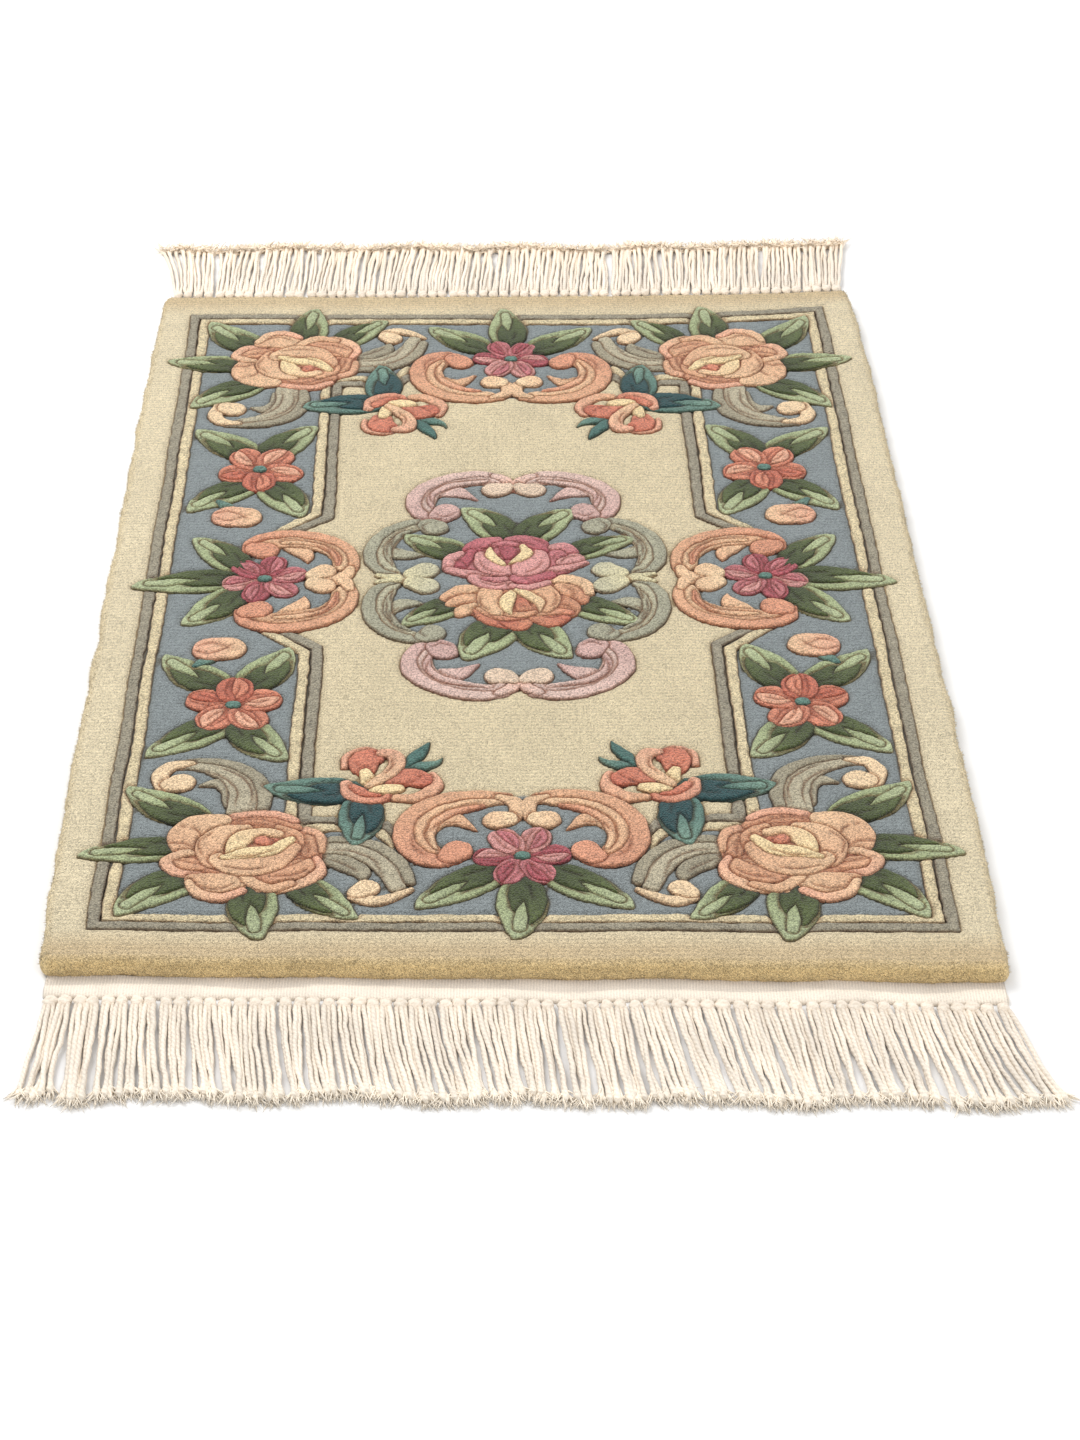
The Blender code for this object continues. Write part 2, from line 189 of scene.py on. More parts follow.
@dataclass(frozen=True)
class Laying:
    """How unevenly the pattern was woven and how the rug lies, as shifts along Y in millimetres."""

    # Places along the rug, the shift of the pattern there, and how much more at the right side
    along: tuple[float, ...] = (-0.4575, -0.426, -0.342, -0.16, 0.0, 0.16, 0.342, 0.426, 0.4575)
    shift: tuple[float, ...] = (0.0, 0.0, -6.8, -11.8, -11.2, -11.8, -7.0, -8.5, -1.0)
    slant: tuple[float, ...] = (-4.6, -2.3, 1.0, 3.8, 3.8, 3.8, 2.0, 1.0, 4.0)
    # The far right corner is pulled outwards
    pull_along: tuple[float, ...] = (0.25, 0.34, 0.426, 0.4575)
    pull_share: tuple[float, ...] = (0.0, 0.22, 1.0, 0.4)
    pull: float = 23.0
    pull_from_x: float = 0.06
    # The near left quarter's own shift, by which the tables are read
    table_along: tuple[float, ...] = (0.0, 176.0, 345.0, 425.0)
    table_shift: tuple[float, ...] = (12.0, 13.5, 7.5, 0.0)
    half_width: float = 0.300
    slow_wobble: float = 0.7
    quick_wobble: float = 0.35

    def evened(self, points: np.ndarray) -> np.ndarray:
        """Places of the near left quarter, in millimetres, as they would lie on an even rug.

        Args:
            points: The places as woven, with x and y last.

        Returns:
            The same places on an even rug, in millimetres.
        """
        even = points.copy()
        even[..., 1] -= np.interp(even[..., 1], self.table_along, self.table_shift)
        return even

    def laid(self, x: np.ndarray, y: np.ndarray) -> tuple[np.ndarray, np.ndarray]:
        """Where places of an even rug lie on this one.

        Args:
            x: Places across the even rug, in metres.
            y: Places along it, in metres.

        Returns:
            The same places as woven and laid, in metres.
        """
        right = x / self.half_width
        corner = np.clip((x - self.pull_from_x) / (self.half_width - self.pull_from_x), 0, 1) ** 2
        dy = np.interp(y, self.along, self.shift) + right * np.interp(y, self.along, self.slant)
        dy = dy + self.pull * corner * np.interp(y, self.pull_along, self.pull_share)
        wobble_x = self.slow_wobble * ripple(x, y, 0.09, 3) + self.quick_wobble * ripple(x, y, 0.011, 5)
        wobble_y = self.slow_wobble * ripple(x, y, 0.11, 4) + self.quick_wobble * ripple(x, y, 0.011, 6)
        return x + wobble_x * MM, y + (dy + wobble_y) * MM


LAYING = Laying()


@dataclass
class MeshParts:
    """Vertices, faces and per-vertex values gathered for one joined mesh."""

    places: list[np.ndarray] = field(default_factory=list)
    quads: list[np.ndarray] = field(default_factory=list)
    dyes: list[np.ndarray] = field(default_factory=list)
    painted_shades: list[np.ndarray] = field(default_factory=list)
    uvs: list[np.ndarray] = field(default_factory=list)
    count: int = 0

    def add_tubes(self, rings: np.ndarray, dye: np.ndarray, painted_shade: np.ndarray,
                  uv: np.ndarray | None = None) -> None:
        """Add closed-profile surfaces: tubes whose rings run from one pole to the other.

        The face between ring i and i + 1 and profile point j and j + 1 is one quad, and the last
        profile point joins the first.

        Args:
            rings: Places, shaped (tubes, rings, profile points, 3).
            dye: Linear colours of the same shape.
            painted_shade: How much painted shade each place takes, from 0 to 1, without the last axis.
            uv: Optional flat coordinates, shaped (tubes, rings, profile points, 2).
        """
        tubes, count, profile = rings.shape[:3]
        index = np.arange(tubes * count * profile).reshape(tubes, count, profile) + self.count
        around = np.roll(index, -1, axis=2)
        quads = np.stack([index[:, :-1], around[:, :-1], around[:, 1:], index[:, 1:]], axis=-1)
        self.places.append(rings.reshape(-1, 3))
        self.quads.append(quads.reshape(-1, 4))
        self.dyes.append(dye.reshape(-1, 3))
        self.painted_shades.append(painted_shade.reshape(-1))
        self.uvs.append(np.zeros((rings.size // 3, 2)) if uv is None else uv.reshape(-1, 2))
        self.count += rings.size // 3

    def build(self, name: str, material: bpy.types.Material) -> bpy.types.Object:
        """Make the joined mesh, merge its poles and give it its colours.

        Args:
            name: The object's name.
            material: The finish of every face.

        Returns:
            The new object, at the origin.
        """
        mesh = bpy.data.meshes.new(name)
        mesh.from_pydata(np.concatenate(self.places), [], np.concatenate(self.quads))
        add_values(mesh, np.concatenate(self.dyes), np.concatenate(self.painted_shades), np.concatenate(self.uvs))
        merge_poles(mesh)
        return show(name, mesh, material)


def add_values(mesh: bpy.types.Mesh, dye: np.ndarray, painted_shade: np.ndarray, uv: np.ndarray) -> None:
    """Store each vertex's colour, painted shade and flat place on the mesh.

    Args:
        mesh: The mesh to add to.
        dye: Linear colours, one row for each vertex.
        painted_shade: How much painted shade it takes, from 0 to 1; the ground stores here its gap to the
            motifs and stripes, in metres.
        uv: Two flat coordinates for each vertex.
    """
    colour = mesh.attributes.new("dye", "FLOAT_COLOR", "POINT")
    colour.data.foreach_set("color", np.column_stack([dye, np.ones(len(dye))]).astype(np.float32).ravel())
    # The painted shade, which the finishes turn into darker colour
    line = mesh.attributes.new("painted_shade", "FLOAT", "POINT")
    line.data.foreach_set("value", painted_shade.astype(np.float32))
    along = mesh.attributes.new("run", "FLOAT2", "POINT")
    along.data.foreach_set("vector", uv.astype(np.float32).ravel())


def merge_poles(mesh: bpy.types.Mesh) -> None:
    """Merge the vertices that meet at a pole, turn the faces outwards and shade them smooth.

    Args:
        mesh: The mesh, changed in place.
    """
    bm = bmesh.new()
    bm.from_mesh(mesh)
    bmesh.ops.remove_doubles(bm, verts=bm.verts[:], dist=2e-7)
    bmesh.ops.recalc_face_normals(bm, faces=bm.faces[:])
    bm.to_mesh(mesh)
    bm.free()
    mesh.polygons.foreach_set("use_smooth", np.ones(len(mesh.polygons), bool))
    mesh.update()


def show(name: str, mesh: bpy.types.Mesh, material: bpy.types.Material) -> bpy.types.Object:
    """Put a mesh into the scene as an object at the origin.

    Args:
        name: The piece's name.
        mesh: Its mesh.
        material: Its finish.

    Returns:
        The new object.
    """
    mesh.materials.append(material)
    obj = bpy.data.objects.new(name, mesh)
    bpy.context.scene.collection.objects.link(obj)
    return obj


def smooth_rows(rows: np.ndarray, samples: int) -> np.ndarray:
    """Samples of a smooth curve through table rows, by Catmull and Rom's cubic on every column.

    Args:
        rows: The table, one row for each point.
        samples: How many rows to return.

    Returns:
        The sampled rows.
    """
    padded = np.vstack([rows[:1], rows, rows[-1:]])
    place = np.linspace(0.0, len(rows) - 1, samples)
    span = np.minimum(place.astype(int), len(rows) - 2)
    t = (place - span)[:, None]
    a, b, c, d = (padded[span + step] for step in range(4))
    return 0.5 * (2 * b + (c - a) * t + (2 * a - 5 * b + 4 * c - d) * t**2 + (3 * b - a - 3 * c + d) * t**3)


class Nodes:
    """A short way to build a material's node tree."""

    def __init__(self, name: str) -> None:
        """Start a material that holds only its shader and output.

        Args:
            name: The material's name.
        """
        self.material = bpy.data.materials.new(name)
        self.material.use_nodes = True
        self.tree = self.material.node_tree
        self.shader = self.tree.nodes["Principled BSDF"]

    def add(self, kind: str, inputs: dict[str | int, object] | None = None,
            **settings: object) -> bpy.types.Node:
        """Add a node, set its properties, and set or link its inputs.

        Args:
            kind: The node's type name, without the ShaderNode prefix.
            inputs: Values, or output sockets to link, by input name or number.
            settings: Properties of the node.

        Returns:
            The new node.
        """
        node = self.tree.nodes.new("ShaderNode" + kind)
        for key, value in settings.items():
            setattr(node, key, value)
        for key, value in (inputs or {}).items():
            self.put(node, key, value)
        return node

    def put(self, node: bpy.types.Node, key: str | int, value: object) -> None:
        """Link an output socket to an input, or set the input's value."""
        if isinstance(value, bpy.types.NodeSocket):
            self.tree.links.new(value, node.inputs[key])
        else:
            node.inputs[key].default_value = value

    def math(self, operation: str, *values: object) -> bpy.types.NodeSocket:
        """The output of one arithmetic node."""
        return self.add("Math", dict(enumerate(values)), operation=operation).outputs[0]

    def mix(self, share: object, first: object, second: object, blend: str = "MIX") -> bpy.types.NodeSocket:
        """The output of one colour mix."""
        node = self.add("Mix", {0: share, 6: first, 7: second}, data_type="RGBA", blend_type=blend)
        return node.outputs[2]

    def span(self, value: object, low: float, high: float, to_low: float,
             to_high: float) -> bpy.types.NodeSocket:
        """A value moved from one range to another with a soft start and end.

        Args:
            value: What is moved.
            low: Its lowest value.
            high: Its highest value.
            to_low: What the lowest becomes.
            to_high: What the highest becomes.

        Returns:
            The node's output.
        """
        node = self.add("MapRange", {0: value, 1: low, 2: high, 3: to_low, 4: to_high})
        node.interpolation_type = "SMOOTHSTEP"
        return node.outputs[0]

    def noise(self, place: object, scale: float, detail: float, **inputs: float) -> bpy.types.NodeSocket:
        """The value of one noise at a place."""
        sockets = {"Vector": place, "Scale": scale, "Detail": detail, **inputs}
        return self.add("TexNoise", sockets).outputs["Fac"]

    def attribute(self, name: str, output: str) -> bpy.types.NodeSocket:
        """One output of an attribute of the mesh."""
        return self.add("Attribute", attribute_name=name).outputs[output]

    def colour(self, light: object, painted_shade: object, painted_shade_colour: tuple[float, float, float]) -> None:
        """Colour the shader: the dye times its light, darkened by a colour where it takes painted shade.

        Args:
            light: How light it is.
            painted_shade: How much painted shade it takes.
            painted_shade_colour: The colour that the painted shade multiplies in.
        """
        tone = self.add("CombineColor", {0: light, 1: light, 2: light}).outputs[0]
        colour = self.mix(1.0, self.attribute("dye", "Color"), tone, "MULTIPLY")
        shaded = self.mix(1.0, colour, (*painted_shade_colour, 1.0), "MULTIPLY")
        self.put(self.shader, "Base Color", self.mix(painted_shade, colour, shaded))

    def surface(self, height: object, strength: float, distance: float, **shine: float) -> None:
        """Bump the shader by a height, and set its shine by its sockets' names with _ for spaces.

        Args:
            height: The bump's height.
            strength: Its strength.
            distance: Its greatest depth, in metres.
            shine: The sockets' values.
        """
        bump = self.add("Bump", {"Strength": strength, "Distance": distance, "Height": height})
        self.put(self.shader, "Normal", bump.outputs[0])
        for key, value in shine.items():
            self.put(self.shader, key.replace("_", " "), value)


@dataclass(frozen=True)
class WoolFinish:
    """Cut wool pile: a dyed colour with a tuft grain, painted shade between the tufts, knot rows, and painted
    shade in the carved lines.
    """

    name: str = "wool_pile"
    tuft: float = 0.0013
    fibre: float = 0.0009
    row_pitch: float = 0.0040
    row_depth: float = 0.03
    tuft_contrast: float = 0.20
    fibre_contrast: float = 0.15
    # How dark the painted shade in the gaps between tufts is
    between: float = 0.36
    # The lamps turn the floor white, and wool gives back this share of its yarn's full colour
    strength: float = 1.09
    # Painted shade in the carved grooves and along the strokes' edges, also standing for the cut wool's
    # deeper colour there: the colour it multiplies in
    painted_shade_colour: tuple[float, float, float] = (0.43, 0.29, 0.22)
    # The width of the painted shade in the ground's grooves, made from its stored gap; 0 where the mesh gives
    # the shade itself
    groove_width: float = 0.0
    roughness: float = 0.95

    def build(self) -> bpy.types.Material:
        """Make the material.

        Returns:
            A material that reads the dye and carve attributes.
        """
        n = Nodes(self.name)
        place = n.add("TexCoord").outputs["Object"]
        painted_shade = n.attribute("painted_shade", "Fac")
        # On the ground the attribute holds the gap to the motifs and stripes: painted shade fills the groove
        # beside them, and a faint wider band of it reaches further out
        if self.groove_width:
            near = n.span(painted_shade, 0.0, self.groove_width, 1.0, 0.0)
            halo = n.span(painted_shade, 0.0, 4.0 * self.groove_width, 0.16, 0.0)
            painted_shade = n.math("MAXIMUM", near, halo)
        tufts = n.add("TexVoronoi", {"Vector": place, "Scale": 1 / self.tuft, "Randomness": 1.0})
        cell = n.add("SeparateColor", {0: tufts.outputs["Color"]}).outputs[0]
        fibres = n.noise(place, 1 / self.fibre, 2.0)
        patches = n.noise(place, 60.0, 3.0, Roughness=0.7)
        rows = n.add("TexWave", {"Vector": place, "Scale": 0.314 / self.row_pitch, "Distortion": 1.5,
                                 "Detail": 2.0, "Detail Scale": 3.0}, bands_direction="Y").outputs["Fac"]
        low, high = self.strength - self.tuft_contrast, self.strength + self.tuft_contrast
        tuft_light = n.span(cell, 0.0, 1.0, low, high)
        light = n.math("ADD", tuft_light, n.span(fibres, 0.3, 0.7, -self.fibre_contrast, self.fibre_contrast))
        # Painted shade in the gaps between tufts
        between = n.span(tufts.outputs["Distance"], 0.35, 0.8, 0.0, self.between)
        light = n.math("SUBTRACT", light, between)
        light = n.math("ADD", light, n.span(patches, 0.3, 0.7, -0.02, 0.03))
        light = n.math("SUBTRACT", light, n.math("MULTIPLY", rows, self.row_depth))
        n.colour(light, painted_shade, self.painted_shade_colour)
        hollow = n.math("MULTIPLY", tufts.outputs["Distance"], -1.2)
        height = n.math("ADD", hollow, n.math("MULTIPLY", fibres, 0.8))
        n.surface(height, 1.0, 0.0012, Roughness=self.roughness, Specular_IOR_Level=0.15, Sheen_Weight=0.15,
                  Sheen_Roughness=0.6)
        return n.material


@dataclass(frozen=True)
class CottonFinish:
    """Cotton yarn: a dyed colour with fine twisted plies that follow the yarn, or ribs across a weave, with
    painted shade in their grooves.
    """

    name: str = "fringe_cotton"
    twist: float = 260.0
    # The width of a rib across a weave, or 0 for yarn
    rib_pitch: float = 0.0
    # How dark the painted shade in the grooves between plies or ribs is
    contrast: float = 0.10
    # The colour that painted shade multiplies in: cords' undersides, cord roots and the knots' dips
    painted_shade_colour: tuple[float, float, float] = (0.52, 0.42, 0.30)
    roughness: float = 0.9

    def build(self) -> bpy.types.Material:
        """Make the material.

        Returns:
            A material that reads the dye, painted shade and run attributes.
        """
        n = Nodes(self.name)
        place = n.add("TexCoord").outputs["Object"]
        parts = n.add("SeparateXYZ", {0: n.attribute("run", "Vector")}).outputs
        turns = n.math("ADD", n.math("MULTIPLY", parts[1], self.twist), n.math("MULTIPLY", parts[0], 2.0))
        if self.rib_pitch:
            turns = n.math("MULTIPLY", n.add("SeparateXYZ", {0: place}).outputs[0], 1 / self.rib_pitch)
        plies = n.math("SINE", n.math("MULTIPLY", turns, math.tau))
        fibres = n.noise(place, 900.0, 3.0)
        # Painted shade in the grooves between the plies, or between the ribs of a weave
        ply_light = n.span(plies, -1.0, 1.0, 1 - self.contrast, 1.0)
        light = n.math("ADD", ply_light, n.span(fibres, 0.3, 0.7, -0.08, 0.08))
        light = n.math("ADD", light, n.span(n.noise(place, 30.0, 2.0), 0.3, 0.7, -0.05, 0.05))
        n.colour(light, n.attribute("painted_shade", "Fac"), self.painted_shade_colour)
        height = n.math("ADD", n.math("MULTIPLY", plies, 0.5), fibres)
        n.surface(height, 0.6, 0.0005, Roughness=self.roughness, Specular_IOR_Level=0.2, Sheen_Weight=0.25)
        return n.material


def raised(rows: tuple, repeat: Repeat = Repeat.QUARTERS) -> list[Stroke]:
    """Strokes from rows of yarn, yarn at the far end, lift and line."""
    return [Stroke(yarn, line, repeat, end, lift) for yarn, end, lift, line in rows]


def cuts(lines: tuple, repeat: Repeat = Repeat.QUARTERS) -> list[Stroke]:
    """Fine carved lines across the strokes below them, from rows of (x, y)."""
    return [Stroke(None, tuple((x, y, 0.0) for x, y in line), repeat) for line in lines]


def leaf(base: tuple[float, float], tip: tuple[float, float], width: float, dark_side: int,
         repeat: Repeat = Repeat.QUARTERS, tone: LeafTone = LeafTone.OLIVE,
         bend: float = 0.0) -> list[Stroke]:
    """A carved leaf in two tones: a light blade with a dark heart by its base, to one side.

    Args:
        base: Where the leaf leaves its flower, in millimetres.
        tip: Its point.
        width: Its half width.
        dark_side: 1 or -1, the side of its line on which the dark heart lies.
        repeat: How the leaf is mirrored.
        tone: Its yarns.
        bend: How far its middle bows to the dark side, as a share of the half width.

    Returns:
        The strokes, lowest first.
    """
    start, end = np.array(base), np.array(tip)
    along = end - start
    across = np.array([-along[1], along[0]]) / np.linalg.norm(along) * dark_side

    def line(*rows: tuple[float, float, float]) -> tuple:
        """Table rows from shares of the leaf's length, of its half width sideways, and of it in width.

        Args:
            rows: Shares of the way along, sideways and in width.

        Returns:
            Table rows of x, y and half width.
        """
        table = []
        for far, side, wide in rows:
            aside = (side + bend * 4 * far * (1 - far)) * width
            table.append((*(start + along * far + across * aside), wide * width))
        return tuple(table)

    dark, mid, light, pale = tone.value
    blade = line((0.0, 0.0, 0.55), (0.2, 0.0, 0.92), (0.45, 0.0, 0.98), (0.7, -0.08, 0.70),
                 (0.88, -0.18, 0.42),
                 (0.99, -0.30, 0.14))
    heart = line((-0.02, 0.12, 0.45), (0.18, 0.18, 0.74), (0.38, 0.22, 0.72), (0.55, 0.26, 0.50),
                 (0.76, 0.26, 0.06))
    back = line((0.3, 0.86, 0.08), (0.48, 0.78, 0.15), (0.66, 0.56, 0.12), (0.8, 0.34, 0.03))
    finger = line((0.84, -0.12, 0.26), (0.66, -0.06, 0.28), (0.5, -0.02, 0.2), (0.36, 0.06, 0.03))
    crease = line((0.08, -0.5, 0), (0.32, -0.54, 0), (0.56, -0.46, 0))
    vein = line((0.04, 0.2, 0), (0.2, 0.34, 0), (0.36, 0.4, 0))
    return [
        Stroke(light, blade, repeat, fades_to=pale),
        Stroke(mid, back, repeat, fades_to=light, lift=0.1),
        Stroke(dark, heart, repeat, fades_to=mid, lift=0.2),
        Stroke(pale, finger, repeat, fades_to=light, lift=0.35),
        Stroke(None, crease, repeat),
        Stroke(None, vein, repeat),
    ]


def rosette(centre: tuple[float, float], radius: float, petals: int, outer: tuple[Yarn, ...],
            inner: tuple[Yarn, ...], repeat: Repeat = Repeat.QUARTERS, turn: float = 0.0) -> list[Stroke]:
    """A small flower: broad petals about an eye, each with an inner lobe and carved lines.

    Args:
        centre: The eye's place, in millimetres.
        radius: How far the petals reach.
        petals: How many petals.
        outer: The petals' yarns, in turn.
        inner: The yarns of their inner lobes, in turn.
        repeat: How the flower is mirrored.
        turn: The first petal's direction, in degrees.

    Returns:
        The strokes, lowest first.
    """
    strokes = []
    wide = 2.1 / petals
    for petal in range(petals):
        angle = math.radians(turn) + math.tau * petal / petals
        out = np.array([math.cos(angle), math.sin(angle)])
        side = np.array([-out[1], out[0]])

        def line(*rows: tuple[float, float, float]) -> tuple:
            """Table rows from shares of the radius outwards, sideways and in half width."""
            return tuple((*(np.array(centre) + radius * (far * out + aside * side)), share * radius)
                         for far, aside, share in rows)

        body = line((0.2, 0.0, 0.4 * wide), (0.42, 0.0, 0.88 * wide), (0.97 - wide * 0.86, 0.0, 0.92 * wide))
        lobe = line((0.26, -0.05, 0.1 * wide), (0.46, -0.10, 0.36 * wide), (0.68, -0.10, 0.40 * wide),
                    (0.9, -0.02, 0.12 * wide))
        strokes.append(Stroke(outer[petal % len(outer)], body, repeat, lift=0.12 * (petal % 2)))
        strokes.append(Stroke(inner[petal % len(inner)], lobe, repeat, lift=0.3))
        strokes += cuts((
            tuple(row[:2] for row in line((0.2, 0.08, 0), (0.5, 0.17, 0), (0.9, 0.12, 0))),
            tuple(row[:2] for row in line((0.24, 0.0, 0), (0.5, -0.08, 0), (0.78, -0.08, 0))),
        ), repeat)
    x, y = centre
    strokes.append(Stroke(Yarn.EYE, ((x - 1.6, y, 4.4), (x + 1.6, y, 4.4)), repeat, lift=0.8))
    return strokes


def corner_rose() -> list[Stroke]:
    """The peach rose of each corner with its five leaves.

    Returns:
        Its strokes, the lowest first.
    """
    light, peach, dark, coral = Yarn.PEACH_LIGHT, Yarn.PEACH, Yarn.PEACH_DARK, Yarn.CORAL_LIGHT
    strokes = leaf((212, 306), (264, 277), 16, 1, bend=0.1)
    strokes += leaf((222, 339), (288, 343), 14, -1, bend=-0.1)
    strokes += leaf((212, 368), (259, 407), 17, -1, bend=0.15)
    strokes += leaf((172, 380), (171, 433), 17, -1)
    strokes += leaf((146, 374), (109, 416), 15, -1)
    strokes += raised((
        (dark, dark, 0.0, ((212, 336, 16), (190, 345, 34), (160, 348, 30), (148, 350, 18))),
        (peach, dark, 0.2, ((148, 330, 8), (140, 336, 9), (138, 346, 7))),
        (coral, peach, 0.3, ((158, 323, 3), (145, 321, 4), (133, 328, 4), (131, 344, 3))),
        (dark, dark, 0.2, ((197, 318, 7), (180, 313, 8), (162, 313, 8), (150, 319, 6))),
        (coral, coral, 0.3, ((196, 309, 3.5), (180, 304, 4), (163, 304, 4), (150, 311, 3.5))),
        (peach, light, 0.3, ((221, 344, 7), (222, 328, 11), (212, 315, 11), (197, 311, 7))),
        (peach, dark, 0.3, ((226, 356, 6), (213, 358, 8), (198, 355, 6))),
        (light, coral, 0.4, ((206, 346, 3.5), (220, 346, 4), (231, 354, 4.5), (224, 366, 4.5),
                             (209, 369, 4))),
        (dark, peach, 0.3, ((165, 368, 11), (148, 365, 12), (139, 359, 8))),
        (coral, light, 0.4, ((134, 352, 3), (130, 363, 4), (136, 374, 5), (150, 382, 5), (168, 384, 4))),
        (peach, light, 0.4, ((212, 374, 7), (198, 378, 12), (184, 376, 10))),
        (light, coral, 0.5, ((215, 376, 3.5), (207, 388, 4.5), (192, 392, 4.5), (179, 385, 4))),
        (light, peach, 0.5, ((182, 366, 3), (174, 376, 5), (162, 383, 5), (148, 379, 4))),
    ))
    strokes += cuts((
        ((226, 316), (213, 322), (209, 332), (207, 344)), ((232, 336), (220, 336), (210, 344)),
        ((194, 317), (180, 310), (166, 312), (154, 318)), ((196, 322), (180, 316), (160, 318)),
        ((148, 326), (140, 338), (140, 350)), ((230, 352), (215, 356), (200, 360)),
        ((208, 380), (196, 384), (184, 378)), ((162, 372), (148, 370), (136, 362)),
        ((166, 364), (150, 360), (140, 352)),
    ))
    strokes += raised((
        (peach, dark, 0.7, ((160, 320, 4), (150, 330, 7), (150, 346, 6))),
        (peach, light, 0.7, ((201, 354, 8), (204, 339, 10), (196, 326, 9), (181, 320, 5))),
        (light, peach, 0.8, ((196, 353, 8), (182, 360, 11), (164, 357, 11), (151, 342, 7))),
        (Yarn.CREAM, light, 0.9, ((188, 344, 6), (184, 332, 8), (173, 326, 7), (160, 326, 4))),
        (Yarn.CORAL, Yarn.CORAL, 1.0, ((170, 333, 5.5), (162, 336, 5.5))),
        (Yarn.CREAM, Yarn.CREAM, 1.1, ((194, 351, 3), (178, 346, 6), (164, 344, 6), (152, 332, 4))),
    ))
    return strokes + cuts((
        ((208, 350), (211, 336), (202, 324)), ((190, 350), (173, 349), (158, 342)),
        ((194, 360), (180, 364), (164, 362)),
        ((168, 329), (163, 334), (165, 341)),
    ))


def corner_scrolls() -> list[Stroke]:
    """The two grey scrolls that leave each corner rose, with their cream hooks.

    Returns:
        Its strokes, the lowest first.
    """
    grey, light, cream = Yarn.SCROLL_GREY, Yarn.SCROLL_GREY_LIGHT, Yarn.HOOK_GOLD
    strokes = raised((
        (grey, light, 0.1, ((192, 292, 6), (192, 276, 8.5), (201, 268, 6), (214, 271, 1))),
        (light, light, 0.3, ((183, 300, 12), (182, 279, 13), (190, 262, 11), (206, 251, 8), (222, 247, 5.5),
                             (234, 248, 4))),
        (grey, grey, 0.4, ((172, 300, 4), (171, 280, 5.5), (178, 261, 5.5), (194, 248, 4.5),
                           (214, 243, 3.5), (232, 244, 2.5))),
        (cream, cream, 0.5, ((222, 246, 3), (236, 249, 5.5), (242, 260, 6.5), (238, 272, 7))),
        (cream, cream, 0.7, ((233, 270, 8.5), (227, 268, 10))),
        (grey, grey, 0.1, ((128, 350, 7), (115, 357, 8.5), (105, 365, 7), (102, 376, 1))),
        (light, light, 0.3, ((131, 340, 8), (113, 341, 9), (96, 350, 10), (85, 366, 9), (81, 382, 6))),
        (grey, grey, 0.4, ((132, 333, 4), (112, 333, 4.5), (93, 341, 5), (79, 357, 5), (73, 376, 4))),
        (cream, cream, 0.5, ((72, 384, 2), (82, 391, 4), (95, 396, 5.5), (105, 391, 7))),
        (cream, cream, 0.7, ((105, 387, 7.5), (100, 383, 9))),
    ))
    return strokes + cuts((
        ((190, 298), (189, 280), (197, 265), (212, 255)), ((180, 300), (179, 280), (187, 263), (206, 250)),
        ((128, 344), (110, 346), (96, 356), (90, 374)), ((126, 353), (114, 360), (106, 368)),
    ))


def garden_spray() -> list[Stroke]:
    """The coral flower with blue-green leaves at each corner of the field.

    Returns:
        Its strokes, the lowest first.
    """
    strokes = leaf((110, 277), (171, 277), 16, 1, tone=LeafTone.TEAL)
    strokes += leaf((106, 288), (106, 337), 16, 1, tone=LeafTone.TEAL)
    coral, light, dark = Yarn.CORAL, Yarn.CORAL_LIGHT, Yarn.CORAL_DARK
    strokes += raised((
        (Yarn.TEAL_MID, Yarn.TEAL_LIGHT, 0.0, ((78, 250, 4), (67, 250, 5), (58, 247, 3), (53, 240, 0.5))),
        (Yarn.TEAL_MID, Yarn.TEAL_MID, 0.2, ((79, 249, 4), (72, 240, 5.5), (66, 231, 4), (62, 222, 0.5))),
        (light, light, 0.2, ((119, 250, 3), (117, 238, 4), (105, 232, 4), (92, 237, 3))),
        (coral, dark, 0.4, ((106, 252, 9), (106, 243, 11), (101, 240, 9))),
        (light, coral, 0.2, ((117, 270, 5), (113, 282, 6.5), (100, 288, 6), (88, 285, 4))),
        (coral, dark, 0.4, ((112, 274, 4), (104, 281, 4.5), (95, 283, 3))),
        (light, Yarn.PEACH, 0.2, ((60, 261, 4.5), (58, 274, 6), (68, 286, 6), (83, 287, 4))),
        (coral, dark, 0.5, ((86, 268, 7), (76, 263, 10.5), (68, 266, 9))),
        (Yarn.CREAM, Yarn.CREAM, 0.6, ((105, 257, 4.5), (102, 267, 6.5))),
        (Yarn.CREAM, Yarn.CREAM, 0.6, ((99, 277, 4), (90, 277, 6), (82, 276, 4.5))),
        (light, Yarn.PEACH_LIGHT, 0.8, ((95, 236, 4), (86, 238, 6), (84, 250, 6), (91, 262, 5.5),
                                        (102, 273, 3.5))),
    ))
    return strokes + cuts((
        ((114, 246), (106, 252), (97, 248)), ((66, 262), (74, 270), (84, 272)),
        ((64, 274), (72, 281), (82, 282)),
        ((88, 242), (87, 252), (94, 262)),
    ))


